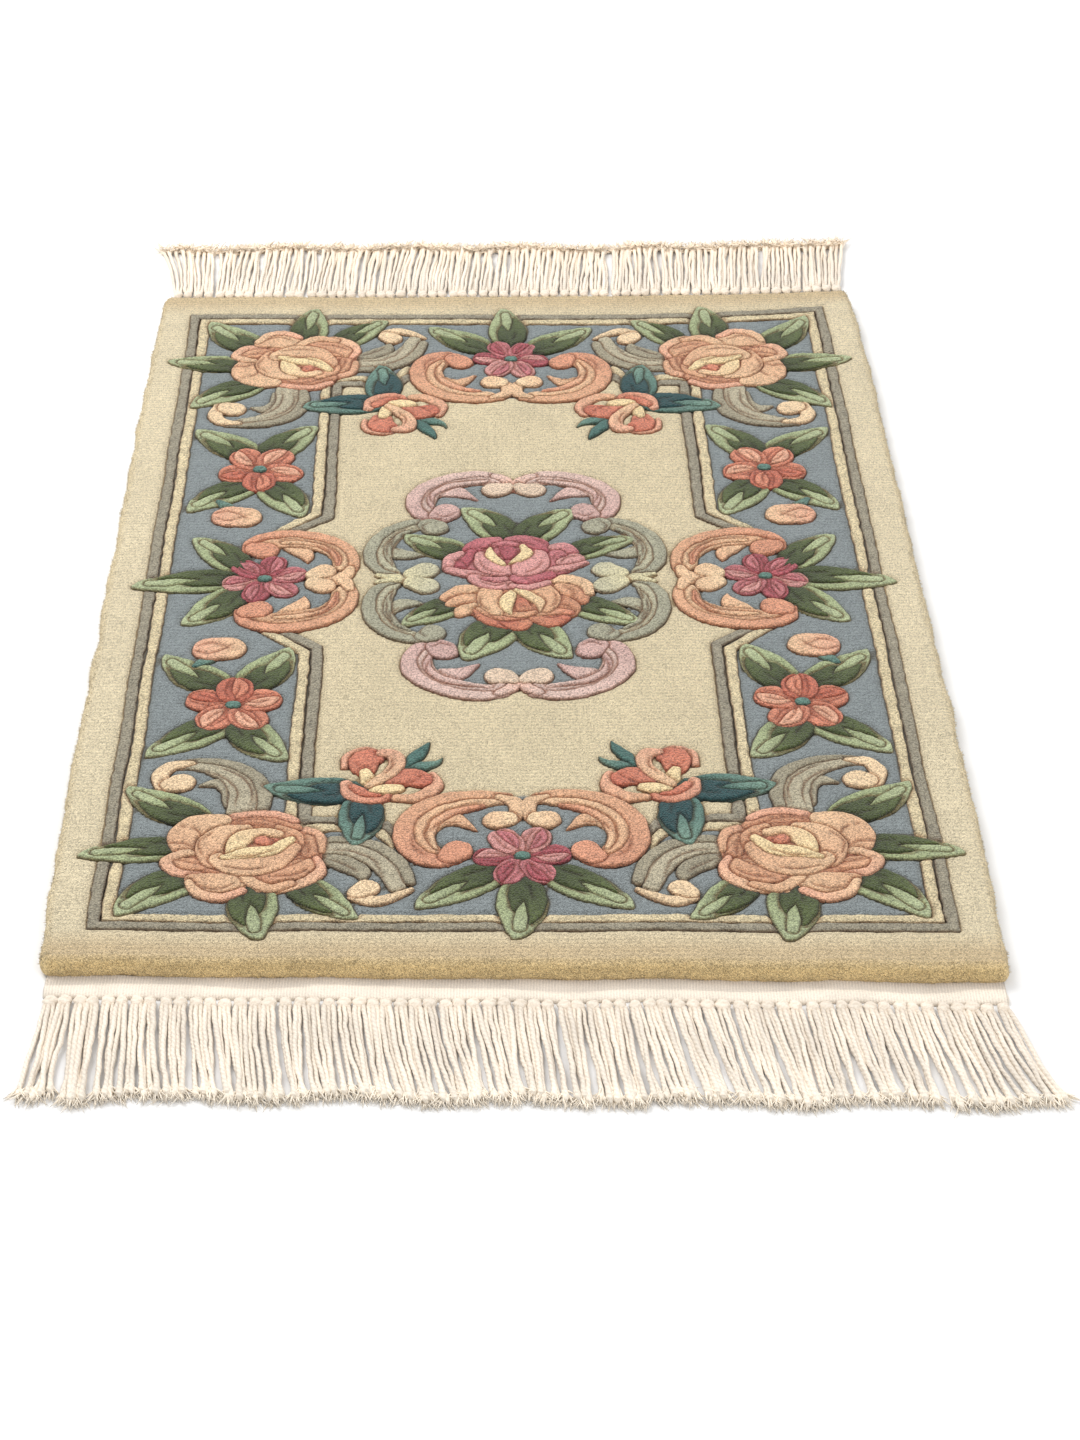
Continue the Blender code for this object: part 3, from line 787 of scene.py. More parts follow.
def end_motif() -> list[Stroke]:
    """The pink flower in the middle of each end, between two coral scrolls.

    Returns:
        Its strokes, the lowest first.
    """
    light, peach, coral = Yarn.PEACH_LIGHT, Yarn.PEACH, Yarn.CORAL_SCROLL
    strokes = leaf((18, 364), (71, 398), 16, -1, bend=-0.1)
    strokes += leaf((1, 376), (1, 433), 17, 1, Repeat.ENDS)
    strokes += raised((
        (light, peach, 0.1, ((64, 322, 7), (54, 311, 8), (42, 311, 6), (30, 322, 0.8))),
        (light, peach, 0.3, ((13, 289, 4), (32, 291, 8), (51, 297, 10.5), (65, 311, 12), (68, 330, 12),
                             (60, 345, 9), (48, 351, 7))),
        (peach, coral, 0.4, ((9, 285, 3.5), (30, 283, 5), (52, 288, 6), (69, 301, 6.5), (77, 318, 7),
                             (76, 337, 7.5),
                             (66, 351, 7.5), (53, 355, 6.5), (43, 352, 5))),
        (coral, light, 0.6, ((26, 296, 2), (42, 301, 3.5), (55, 312, 4), (60, 328, 3.5), (56, 342, 2))),
        (coral, coral, 0.7, ((47, 350, 8.5), (42, 344, 10.5))),
        (light, light, 0.5, ((16, 286, 3), (5, 292, 5.5), (4, 303, 6), (10, 312, 6))),
        (Yarn.HOOK_GOLD, light, 0.7, ((10, 310, 7.5), (17, 311, 9.5))),
    ))
    strokes += cuts((
        ((22, 292), (40, 296), (56, 307), (62, 322), (60, 340)), ((40, 314), (54, 316), (60, 326)),
        ((60, 352), (70, 343), (72, 330)),
    ))
    outer = (Yarn.PINK_DARK, Yarn.PINK, Yarn.PINK, Yarn.PINK_DARK, Yarn.PINK_LIGHT, Yarn.PINK_LIGHT)
    inner = (Yarn.PINK_LIGHT, Yarn.PINK_DARK, Yarn.PINK_DARK, Yarn.PINK_LIGHT, Yarn.PINK, Yarn.PINK)
    return strokes + rosette((0, 349), 33, 6, outer, inner, Repeat.ENDS, 4)


def side_motif() -> list[Stroke]:
    """The pink flower in the middle of each side, between two coral scrolls.

    Returns:
        Its strokes, the lowest first.
    """
    light, peach, coral = Yarn.PEACH_LIGHT, Yarn.PEACH, Yarn.CORAL_SCROLL
    strokes = leaf((208, 10), (284, 16), 16, -1, Repeat.SIDES, bend=-0.1)
    strokes += leaf((206, 30), (239, 74), 16, 1)
    strokes += raised((
        (light, peach, 0.1, ((172, 62, 6), (163, 55, 8.5), (157, 46, 6), (156, 36, 1))),
        (light, peach, 0.3, ((130, 30, 7), (129, 44, 10), (139, 59, 11), (157, 66, 10.5), (178, 67, 9.5),
                             (192, 62, 7))),
        (peach, coral, 0.4, ((124, 20, 4), (121, 38, 4.5), (127, 57, 5), (142, 70, 5.5), (163, 77, 5.5),
                             (184, 76, 5.5),
                             (199, 67, 5.5), (202, 55, 5))),
        (coral, light, 0.6, ((133, 32, 2), (135, 46, 3.5), (145, 58, 3.5), (160, 63, 3), (176, 64, 2))),
        (coral, coral, 0.7, ((196, 56, 9), (189, 53, 11))),
        (light, light, 0.5, ((124, 26, 4), (128, 16, 6), (141, 13, 6), (149, 18, 4))),
        (Yarn.HOOK_GOLD, light, 0.7, ((150, 18, 7.5), (143, 22, 9.5))),
    ))
    strokes += cuts((
        ((133, 30), (134, 46), (144, 60), (160, 67), (180, 69)), ((138, 34), (140, 50), (152, 60)),
        ((198, 62), (190, 69), (176, 70)),
    ))
    outer = (Yarn.PINK_LIGHT, Yarn.PINK_DARK, Yarn.PINK, Yarn.PINK, Yarn.PINK_DARK, Yarn.PINK_DARK)
    inner = (Yarn.PINK, Yarn.PINK, Yarn.PINK_LIGHT, Yarn.PINK_LIGHT, Yarn.PINK, Yarn.PINK)
    return strokes + rosette((187, 11), 33, 6, outer, inner, Repeat.SIDES, 15)


def side_flower() -> list[Stroke]:
    """The coral flower with four leaves in each quarter of the side, and the bud above it.

    Returns:
        Its strokes, the lowest first.
    """
    strokes = leaf((206, 154), (254, 117), 16, 1, bend=0.1)
    strokes += leaf((192, 154), (160, 108), 17, -1)
    strokes += leaf((204, 196), (257, 232), 16, -1, bend=-0.1)
    strokes += leaf((194, 198), (163, 243), 17, -1)
    outer = (Yarn.CORAL, Yarn.CORAL, Yarn.CORAL, Yarn.CORAL, Yarn.CORAL_DARK)
    inner = (Yarn.CORAL_DARK, Yarn.CORAL_LIGHT, Yarn.CORAL_LIGHT, Yarn.CORAL_LIGHT, Yarn.CORAL)
    strokes += rosette((199, 177), 35, 5, outer, inner, turn=-18)
    strokes += raised((
        (Yarn.TEAL_LIGHT, Yarn.TEAL_MID, 0.0, ((221, 118, 6), (229, 127, 3))),
        (Yarn.PEACH_LIGHT, Yarn.CORAL_LIGHT, 0.3, ((208, 104, 14), (219, 105, 14.5))),
    ))
    return strokes + cuts((
        ((230, 103), (220, 98), (210, 103), (203, 108)), ((224, 113), (213, 108), (204, 99)),
        ((232, 108), (222, 112)),
    ))


def medallion_scrolls() -> list[Stroke]:
    """The four lilac and four grey-green scrolls round the middle roses.

    Returns:
        Its strokes, the lowest first.
    """
    lilac, pale, grey, light = Yarn.LILAC, Yarn.LILAC_LIGHT, Yarn.SCROLL_GREEN, Yarn.SCROLL_GREEN_LIGHT
    strokes = raised((
        (pale, lilac, 0.1, ((66, 142, 7), (54, 142, 9), (41, 138, 6.5), (28, 127, 0.8))),
        (pale, pale, 0.3, ((64, 108, 6), (70, 120, 9), (69, 136, 11), (59, 150, 11), (42, 158, 10),
                           (23, 161, 8.5), (9, 157, 6))),
        (lilac, pale, 0.6, ((63, 116, 2), (65, 132, 3.5), (55, 146, 4), (38, 153, 3.5), (20, 156, 2))),
        (lilac, pale, 0.4, ((57, 100, 4), (70, 104, 5.5), (77, 117, 6), (77, 134, 6.5), (67, 150, 6),
                            (49, 162, 5.5),
                            (28, 167, 5), (10, 164, 4))),
        (lilac, lilac, 0.7, ((57, 104, 9.5), (53, 109, 11.5))),
        (pale, Yarn.CORAL_LIGHT, 0.5, ((14, 164, 4), (5, 157, 5), (4, 146, 5.5), (9, 141, 5))),
        (Yarn.HOOK_PINK, Yarn.HOOK_PINK, 0.7, ((15, 143, 10), (9, 144, 8), (4, 148, 5))),
        (light, grey, 0.1, ((99, 60, 6), (92, 51, 7), (82, 46, 6), (67, 46, 0.8))),
        (light, light, 0.3, ((70, 90, 4), (84, 84, 7.5), (95, 71, 9), (101, 54, 9.5), (101, 39, 9),
                             (97, 27, 7), (90, 20, 4))),
        (grey, light, 0.6, ((78, 82, 2), (88, 73, 3), (95, 58, 3.5), (95, 42, 3), (91, 29, 1.5))),
        (grey, grey, 0.4, ((60, 95, 3.5), (76, 94, 4.5), (92, 86, 5), (104, 70, 5.5), (109, 51, 5.5),
                           (108, 35, 5), (101, 22, 4), (90, 17, 3))),
        (grey, grey, 0.7, ((66, 90, 8.5), (61, 86, 10.5))),
        (Yarn.HOOK, Yarn.HOOK, 0.5, ((104, 17, 2.5), (92, 14, 4), (76, 14, 4))),
        (Yarn.HOOK, light, 0.7, ((77, 18, 8), (67, 23, 10.5))),
    ))
    return strokes + cuts((
        ((62, 120), (66, 134), (58, 148), (38, 158)), ((64, 146), (44, 154), (20, 158)),
        ((46, 106), (54, 101), (62, 106)),
        ((78, 88), (90, 76), (96, 58), (96, 40)), ((86, 52), (93, 60), (90, 72)), ((94, 44), (92, 30)),
        ((66, 78), (70, 86), (64, 93)),
    ))


def medallion_leaves() -> list[Stroke]:
    """The eight leaves round the middle roses, which aren't mirrored.

    Returns:
        Its strokes, the lowest first.
    """
    table = (
        ((-5, 44), (-36, 91), 18, -1, 0.1),
        ((8, 44), (42, 88), 17, 1, 0.1),
        ((-38, 22), (-84, 46), 15, 1, 0.0),
        ((42, 22), (88, 46), 14, 1, 0.1),
        ((-42, -46), (-85, -70), 14, -1, 0.0),
        ((42, -44), (90, -70), 15, 1, -0.1),
        ((-6, -70), (-41, -115), 19, -1, 0.0),
        ((8, -70), (33, -119), 18, -1, 0.0),
    )
    strokes = []
    for base, tip, width, side, bend in table:
        strokes += leaf(base, tip, width, side, Repeat.ONCE, bend=bend)
    return strokes


def peach_rose() -> list[Stroke]:
    """The peach rose, which lies nearer the viewer in the middle of the medallion.

    Returns:
        Its strokes, the lowest first.
    """
    light, peach, rust, dark = Yarn.PEACH_LIGHT, Yarn.PEACH, Yarn.TERRACOTTA, Yarn.CORAL_DARK
    strokes = raised((
        (rust, rust, 0.0, ((-34, -42, 12), (-12, -46, 24), (18, -44, 27), (38, -38, 14))),
        (light, peach, 0.2, ((-28, -28, 6), (-40, -30, 8), (-51, -39, 6))),
        (peach, peach, 0.3, ((-27, -39, 7), (-38, -43, 8), (-48, -47, 5))),
        (light, peach, 0.3, ((-30, -51, 6), (-38, -55, 7), (-41, -61, 4))),
        (peach, rust, 0.3, ((35, -25, 8), (45, -33, 9), (48, -43, 6))),
        (light, light, 0.4, ((28, -14, 5), (40, -14, 6), (51, -21, 6), (54, -33, 4))),
        (rust, Yarn.PEACH_DARK, 0.4, ((31, -43, 8), (39, -51, 8.5), (40, -59, 6))),
        (rust, dark, 0.2, ((-26, -56, 6), (-19, -67, 8), (-8, -75, 6))),
        (dark, rust, 0.3, ((-7, -71, 6), (2, -77, 6.5), (9, -68, 5))),
        (rust, dark, 0.3, ((15, -65, 7), (24, -71, 8), (34, -66, 6))),
        (peach, Yarn.CORAL, 0.5, ((-27, -54, 3), (-13, -65, 4.5), (4, -65, 4))),
        (peach, Yarn.CORAL, 0.5, ((15, -60, 4), (28, -58, 5), (40, -60, 3))),
        (peach, light, 0.6, ((-19, -30, 9), (-19, -44, 10), (-13, -56, 8))),
        (peach, peach, 0.6, ((18, -28, 10), (24, -40, 9.5), (21, -53, 7))),
        (dark, Yarn.PEACH_DARK, 0.8, ((3, -44, 5.5), (6, -56, 6.5))),
        (peach, Yarn.PEACH_DARK, 0.9, ((-6, -61, 4), (4, -63, 4), (13, -59, 3))),
        (Yarn.CREAM, Yarn.CREAM, 1.0, ((-2, -30, 3), (-7, -42, 6), (-7, -54, 4.5), (-4, -62, 1))),
        (Yarn.CREAM, light, 1.1, ((0, -28, 3), (9, -36, 5), (17, -46, 4.5), (17, -57, 1.5))),
    ), Repeat.ONCE)
    return strokes + cuts((
        ((-28, -34), (-42, -35), (-53, -43)), ((-30, -45), (-40, -49), (-48, -52)),
        ((34, -22), (42, -32), (40, -44)),
        ((44, -22), (50, -32)), ((-22, -60), (-12, -70), (0, -72)), ((18, -66), (28, -66), (36, -60)),
        ((32, -48), (42, -54)), ((-26, -36), (-26, -48), (-18, -58)), ((28, -32), (30, -44), (24, -54)),
        ((0, -50), (8, -53)),
    ), Repeat.ONCE)


def pink_rose() -> list[Stroke]:
    """The pink rose in the middle of the medallion.

    Returns:
        Its strokes, the lowest first.
    """
    light, pink, dark = Yarn.PINK_LIGHT, Yarn.PINK, Yarn.PINK_DARK
    strokes = raised((
        (pink, pink, 0.3, ((-38, 8, 14), (-12, 16, 26), (16, 14, 26), (38, 12, 13))),
        (dark, pink, 0.4, ((-35, 26, 7), (-28, 36, 8), (-14, 40, 7))),
        (pink, dark, 0.4, ((-4, 42, 5.5), (8, 42, 7.5), (19, 36, 8), (24, 26, 6))),
        (dark, dark, 0.5, ((-43, 4, 7), (-40, 14, 8), (-33, 23, 5))),
        (light, light, 0.6, ((-51, 3, 4.5), (-49, 14, 5.5), (-42, 22, 4))),
        (light, light, 0.6, ((-50, -1, 4), (-38, -6, 5), (-22, -8, 5))),
        (pink, pink, 0.5, ((26, 6, 6), (31, 18, 8), (35, 28, 6))),
        (light, pink, 0.6, ((29, 32, 4), (38, 32, 5.5), (44, 24, 5))),
        (light, light, 0.6, ((36, 10, 6), (45, 14, 8))),
        (light, light, 0.8, ((24, -1, 4), (39, 2, 4), (53, 9, 2.5))),
        (light, light, 0.6, ((-32, -12, 5), (-22, -19, 8.5), (-8, -21, 7))),
        (pink, light, 0.7, ((-25, -13, 2.5), (-13, -15, 4), (-4, -12, 2.5))),
        (pink, dark, 0.6, ((0, -12, 6), (12, -14, 8), (25, -8, 6))),
        (light, light, 0.7, ((-4, -23, 3), (10, -25, 4), (24, -18, 3.5))),
        (light, light, 1.0, ((-25, 18, 7), (-19, 5, 12), (-9, -2, 8))),
        (light, light, 1.1, ((17, 19, 9), (12, 7, 14), (4, -2, 8))),
        (dark, dark, 1.0, ((-8, 32, 6), (-5, 24, 7), (-6, 17, 4))),
        (pink, pink, 1.1, ((-16, 34, 3), (-5, 37, 4), (4, 34, 3))),
        (Yarn.CREAM, Yarn.CREAM, 1.2, ((-20, 31, 2), (-19, 19, 5), (-12, 9, 4), (-8, 5, 1))),
        (Yarn.CREAM, Yarn.CREAM, 1.3, ((6, 33, 3), (9, 23, 5.5), (2, 14, 4), (-5, 8, 1))),
    ), Repeat.ONCE)
    return strokes + cuts((
        ((-34, 34), (-24, 30), (-12, 37)), ((-2, 38), (9, 38), (18, 30)), ((12, 46), (24, 36)),
        ((-47, 12), (-40, 9), (-37, 1)),
        ((34, 6), (38, 16), (50, 18)), ((28, 14), (34, 24)), ((4, -12), (14, -18), (25, -13)),
        ((-28, -18), (-16, -23), (-6, -19)),
        ((-28, 12), (-22, -2), (-8, -7)), ((22, 12), (16, 0), (6, -6)), ((-12, 28), (-4, 26)),
    ), Repeat.ONCE)


def gap_to_line(x: np.ndarray, y: np.ndarray, line: np.ndarray) -> np.ndarray:
    """How far places lie outside a stroke, taken as discs along its line.

    The gap is the least distance to a disc's middle less that disc's half width, so it is
    negative inside the stroke.

    Args:
        x: Places across, in metres.
        y: Places along, in the same shape.
        line: Rows of x, y and half width.

    Returns:
        Gaps in metres.
    """
    return (np.hypot(x[..., None] - line[:, 0], y[..., None] - line[:, 1]) - line[:, 2]).min(axis=-1)


class Pattern:
    """All strokes of the pattern in painter's order, with what lies over any place."""

    # How far apart a line's samples lie, for its mesh and for distances from it, in metres
    mesh_spacing = 0.0018
    fine_spacing = 0.0010

    def __init__(self, groups: dict[str, list[Stroke]]) -> None:
        """Work out every stroke's line, in all its mirrored copies.

        Args:
            groups: The strokes of each piece, lowest first.
        """
        self.groups: dict[str, list[tuple[int, Stroke, np.ndarray]]] = {}
        self.orders: list[int] = []
        self.raised: list[bool] = []
        self.lines: list[np.ndarray] = []
        order = 0
        for name, strokes in groups.items():
            self.groups[name] = []
            for stroke in strokes:
                line = self.middle_line(stroke, self.fine_spacing)
                self.groups[name].append((order, stroke, line))
                for signs in stroke.repeat.value:
                    self.lines.append(line * np.array([*signs, 1.0]))
                    self.orders.append(order)
                    self.raised.append(stroke.yarn is not None)
                order += 1
        self.low = np.array([(line[:, :2] - line[:, 2:]).min(axis=0) for line in self.lines])
        self.high = np.array([(line[:, :2] + line[:, 2:]).max(axis=0) for line in self.lines])

    def middle_line(self, stroke: Stroke, spacing: float) -> np.ndarray:
        """A stroke's smooth middle line on an even rug, as rows of x, y and half width in metres.

        A carved line's half width is 0.25 mm less 1.2 mm times the fourth power of the share of
        the way from its middle to its end, so it fades out at both ends.

        Args:
            stroke: The stroke.
            spacing: How far apart the rows lie, in metres.

        Returns:
            The rows.
        """
        rows = np.array(stroke.line, float)
        if stroke.repeat is Repeat.ONCE:
            rows[:, 1] += LAYING.table_shift[0]
        else:
            rows[:, :2] = LAYING.evened(rows[:, :2])
        length = np.linalg.norm(np.diff(rows[:, :2], axis=0), axis=1).sum() * MM
        line = smooth_rows(rows, max(int(length / spacing), 5)) * MM
        if stroke.yarn is None:
            share = np.linspace(-1.0, 1.0, len(line))
            line[:, 2] = (0.25 - 1.2 * share**4) * MM
        return line

    def gap(self, x: np.ndarray, y: np.ndarray, after: int = -1, cut: bool = True,
            reach: float = 0.004) -> np.ndarray:
        """How far places lie outside every stroke that comes later than a given one.

        Args:
            x: Places across an even rug, in metres.
            y: Places along it, in the same shape.
            after: The order of the stroke that the places are on, or -1 for the ground.
            cut: Whether fine carved lines count too.
            reach: The largest gap that matters.

        Returns:
            Gaps in metres, at most the reach, negative under a later stroke.
        """
        flat_x, flat_y = x.ravel(), y.ravel()
        nearest = np.full(flat_x.shape, reach)
        over = (self.low[:, 0] < flat_x.max() + reach) & (self.high[:, 0] > flat_x.min() - reach)
        over &= (self.low[:, 1] < flat_y.max() + reach) & (self.high[:, 1] > flat_y.min() - reach)
        over &= np.array(self.orders) > after
        over &= np.array(self.raised) | cut
        for index in np.flatnonzero(over):
            low, high = self.low[index] - reach, self.high[index] + reach
            inside_x = (flat_x > low[0]) & (flat_x < high[0])
            inside_y = (flat_y > low[1]) & (flat_y < high[1])
            near = np.flatnonzero(inside_x & inside_y)
            if len(near):
                gaps = gap_to_line(flat_x[near], flat_y[near], self.lines[index])
                nearest[near] = np.minimum(nearest[near], gaps)
        return nearest.reshape(x.shape)


@dataclass
class CarvedMotifs:
    """The raised strokes of pile that make up the pattern, as one joined mesh for each group."""

    crown: float = 0.0011
    lift_step: float = 0.0006
    rounding: float = 0.0024
    groove: float = 0.0012
    groove_width: float = 0.0010
    # The widths of the painted shade along a stroke's edge and beside later strokes and carved lines
    shade_width: float = 0.00068
    cut_shade_width: float = 0.0009
    across_step: float = 0.00175
    cap_step: float = 0.0016
    # How far the closed underside lies below the motif's foot
    buried: float = 0.0012
    # Where the profile's outer places lie: distances in from the edge, and their most as shares
    edge_steps: tuple[float, ...] = (0.0, 0.0005, 0.0013, 0.0024)
    edge_shares: tuple[float, ...] = (0.0, 0.18, 0.45, 0.8)

    def with_caps(self, line: np.ndarray) -> np.ndarray:
        """The rings whose ends touch the outline of a row of discs, with round caps.

        Where the half width w grows by k for each step along the line, the outline touches a disc
        at w k behind its middle and at w times the root of 1 less k squared beside the line. A cap
        runs from the end's pole to that place, as w cos(a) ahead and w sin(a) aside.

        Args:
            line: Rows of x, y and half width.

        Returns:
            Rows of x, y, half width and the line's direction as x and y.
        """
        centre, half = line[:, :2], line[:, 2]
        step = np.gradient(centre, axis=0)
        length = np.linalg.norm(step, axis=1) + 1e-9
        along = step / length[:, None]
        slope = np.clip(np.gradient(half) / length, -0.85, 0.85)
        touching = centre - along * (half * slope)[:, None]
        caps = []
        for end, sign in ((0, -1.0), (-1, 1.0)):
            count = int(np.clip(half[end] / self.cap_step, 3, 7))
            angles = np.linspace(0.0, math.acos(-sign * slope[end]), count, endpoint=False)
            places = centre[end] + sign * along[end] * (half[end] * np.cos(angles))[:, None]
            cap = np.column_stack([places, half[end] * np.sin(angles), np.tile(along[end], (count, 1))])
            caps.append(cap if end == 0 else cap[::-1])
        return np.vstack([caps[0], np.column_stack([touching, half * np.sqrt(1 - slope**2), along]), caps[1]])

    def offsets(self, half: np.ndarray) -> np.ndarray:
        """Where the profile's places lie sideways of the line, for each half width.

        Args:
            half: The stroke's half width.

        Returns:
            Places across, from edge to edge.
        """
        steps = np.minimum(np.array(self.edge_steps), half[:, None] * np.array(self.edge_shares))
        left = -half[:, None] + steps
        count = max(int(2 * (half.max() - self.edge_steps[-1]) / self.across_step), 1)
        middle = left[:, -1:] * np.linspace(1.0, -1.0, count + 2)[None, 1:-1]
        return np.hstack([left, middle, -left[:, ::-1]])

    def add_stroke(self, parts: MeshParts, pattern: Pattern, order: int, stroke: Stroke,
                   line: np.ndarray) -> None:
        """Add a stroke's raised surface, in every mirrored copy.

        The surface carries a closed profile along the line. With d the distance in from the
        stroke's edge and r the rounding, its height is the full height times the root of 1 less
        (1 - d / r) squared. Beside and under a later stroke it dips into a groove, by a bell curve
        of the gap between them.

        Args:
            parts: The mesh to add to.
            pattern: All the strokes, for the grooves that later ones cut.
            order: The stroke's place in painter's order.
            stroke: The stroke.
            line: Its middle line, finely sampled.
        """
        body = line.copy()
        body[:, 2] = np.maximum(body[:, 2], 0.0)
        coarse = pattern.middle_line(stroke, pattern.mesh_spacing)
        coarse[:, 2] = np.maximum(coarse[:, 2], 0.0)
        rings = self.with_caps(coarse)
        centre, half = rings[:, :2], rings[:, 2]
        normal = np.stack([-rings[:, 4], rings[:, 3]], axis=1)
        top = self.offsets(half)
        aside = np.hstack([top, np.zeros((len(half), 1))])
        plan = centre[:, None] + normal[:, None] * aside[..., None]
        inside = np.maximum(-gap_to_line(plan[..., 0], plan[..., 1], body), 0.0)
        rise = rounded(inside, self.rounding)
        sign_x, sign_y = stroke.repeat.value[0]
        gap = pattern.gap(plan[..., 0] * sign_x, plan[..., 1] * sign_y, after=order)
        dip = self.groove * bell(gap, self.groove_width) + np.clip(-gap, 0, 0.002) * 0.5
        height = SUNK + self.crown + stroke.lift * self.lift_step
        z = GROUND_HEIGHT - SUNK + height * rise - dip
        z[:, -1] = GROUND_HEIGHT - SUNK - self.buried
        share = np.linspace(0.0, 1.0, len(rings))
        share = (share * share * (3 - 2 * share))[:, None, None]
        dye = blended(stroke.yarn.linear, (stroke.fades_to or stroke.yarn).linear, share)
        dye = np.broadcast_to(dye, plan.shape[:2] + (3,))
        # Painted shade along the stroke's edge and in the grooves beside later strokes and carved lines
        painted_shade = np.maximum(bell(inside, self.shade_width), bell(gap, self.cut_shade_width))
        for sign_x, sign_y in stroke.repeat.value:
            x, y = LAYING.laid(plan[..., 0] * sign_x, plan[..., 1] * sign_y)
            wool = 0.00016 * ripple(x, y, 0.0045, 11) + 0.00022 * ripple(x, y, 0.020, 12)
            raised = z + wool * np.clip(rise, 0, 1)
            uneven = 1 + 0.04 * math.sin(2.3 * order) + 0.05 * ripple(x, y, 0.03, 21)
            ring = np.stack([x, y, raised], axis=-1)
            parts.add_tubes(ring[None], (dye * uneven[..., None])[None], painted_shade[None])

    def build(self, name: str, pattern: Pattern, material: bpy.types.Material) -> bpy.types.Object:
        """Make one group of motifs.

        Args:
            name: The piece's name.
            pattern: All the strokes.
            material: The wool finish.

        Returns:
            The joined mesh.
        """
        parts = MeshParts()
        for order, stroke, line in pattern.groups[name]:
            if stroke.yarn is not None:
                self.add_stroke(parts, pattern, order, stroke, line)
        obj = parts.build(name, material)
        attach(obj, "root")
        return obj


@dataclass
class Bands:
    """The narrow raised stripes of the border and of the frame round the field."""

    crown: float = 0.0006
    pitch: float = 0.0036
    half_width: float = 0.0043
    rounding: float = 0.0020
    groove: float = 0.0018
    groove_width: float = 0.0011
    # The widths of the painted shade at a stripe's edges and in the grooves beside strokes
    shade_width: float = 0.0007
    groove_shade_width: float = 0.0012
    buried: float = 0.002
    # Half widths and half lengths of the border stripes' middle lines
    border: tuple[tuple[Yarn, float, float], ...] = (
        (Yarn.BAND_GREY, 0.2705, 0.4212), (Yarn.BAND_CREAM, 0.2615, 0.4122))
    # One quarter of the frame's stripes, in millimetres in the near left quarter
    frame: tuple[tuple[Yarn, tuple[tuple[float, float], ...]], ...] = (
        (Yarn.BAND_CREAM, ((184, 78), (153, 109), (153, 318.5), (98, 318.5), (82, 338))),
        (Yarn.BAND_GREY, ((176, 76), (143.7, 103), (143.7, 309.5), (95, 309.5), (76, 332))),
    )

    def stripe(self, parts: MeshParts, pattern: Pattern, corners: np.ndarray, closed: bool,
               yarn: Yarn) -> None:
        """Add one stripe along straight runs with mitred corners.

        A mitre is the sum of its two runs' normals over one plus their dot product. The stripe
        carries a closed profile that rises as a quarter circle from each edge, and dips in a bell
        curve of the gap beside a stroke that lies over it.

        Args:
            parts: The mesh to add to.
            pattern: The strokes that lie over it.
            corners: The runs' corners on an even rug, in metres.
            closed: Whether the last corner joins the first.
            yarn: The stripe's yarn.
        """
        points = np.vstack([corners, corners[:1]]) if closed else corners
        steps = np.diff(points, axis=0)
        directions = steps / np.linalg.norm(steps, axis=1, keepdims=True)
        normals = np.stack([-directions[:, 1], directions[:, 0]], axis=1)
        before = np.vstack([normals[-1:] if closed else normals[:1], normals])
        after = np.vstack([normals, normals[:1] if closed else normals[-1:]])
        mitres = (before + after) / (1 + (before * after).sum(axis=1, keepdims=True))
        counts = np.maximum((np.linalg.norm(steps, axis=1) / self.pitch).astype(int), 2)
        place = np.concatenate([i + np.arange(c) / c for i, c in enumerate(counts)] + [[len(steps)]])
        centre = np.stack([np.interp(place, np.arange(len(points)), points[:, k]) for k in (0, 1)], axis=1)
        straight = np.vstack([np.repeat(normals, counts, axis=0), normals[-1:]])
        corner = np.isin(place, np.arange(len(points)))[:, None]
        bent = np.stack([np.interp(place, np.arange(len(points)), mitres[:, k]) for k in (0, 1)], axis=1)
        sideways = np.where(corner, bent, straight)
        v = np.array([-1.0, -0.88, -0.66, -0.25, 0.25, 0.66, 0.88, 1.0, 0.0])
        inside = self.half_width * (1 - np.abs(v))
        rise = rounded(inside, self.rounding)
        slow, quick = (ripple(centre[:, 0], centre[:, 1], *wave) for wave in ((0.03, 31), (0.008, 34)))
        width = self.half_width * (1 + 0.10 * slow + 0.06 * quick)
        plan = centre[:, None] + sideways[:, None] * (width[:, None] * v)[..., None]
        gap = pattern.gap(plan[..., 0], plan[..., 1], cut=False)
        x, y = LAYING.laid(plan[..., 0], plan[..., 1])
        taper = np.ones(len(centre))
        if not closed:
            taper[[0, -1]] = 0.0
        dip = self.groove * bell(gap, self.groove_width) + np.clip(-gap, 0, 0.002)
        z = GROUND_HEIGHT - SUNK + (SUNK + self.crown) * rise * taper[:, None] - dip
        z = z + 0.00026 * ripple(x, y, 0.006, 32)
        z[:, -1] = GROUND_HEIGHT - SUNK - self.buried
        shade = 1 + 0.07 * ripple(x, y, 0.02, 33) + 0.05 * ripple(x, y, 0.006, 35)
        dye = yarn.linear * np.ones(x.shape + (1,)) * shade[..., None]
        # Painted shade along the stripe's edges and in the grooves beside strokes over it
        painted_shade = np.maximum(bell(inside, self.shade_width), bell(gap, self.groove_shade_width))
        ring = np.stack([x, y, z], axis=-1)
        parts.add_tubes(ring[None], dye[None], painted_shade[None])

    def build(self, pattern: Pattern, material: bpy.types.Material) -> bpy.types.Object:
        """Make all the stripes.

        Args:
            pattern: The strokes that lie over them.
            material: The wool finish.

        Returns:
            The joined mesh.
        """
        parts = MeshParts()
        for yarn, x, y in self.border:
            corners = np.array([(x, y), (-x, y), (-x, -y), (x, -y)])
            self.stripe(parts, pattern, corners, True, yarn)
        for yarn, line in self.frame:
            quarter = LAYING.evened(np.array(line, float)) * MM
            for signs in Repeat.QUARTERS.value:
                self.stripe(parts, pattern, quarter * np.array(signs), False, yarn)
        obj = parts.build("border_bands", material)
        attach(obj, "root")
        return obj


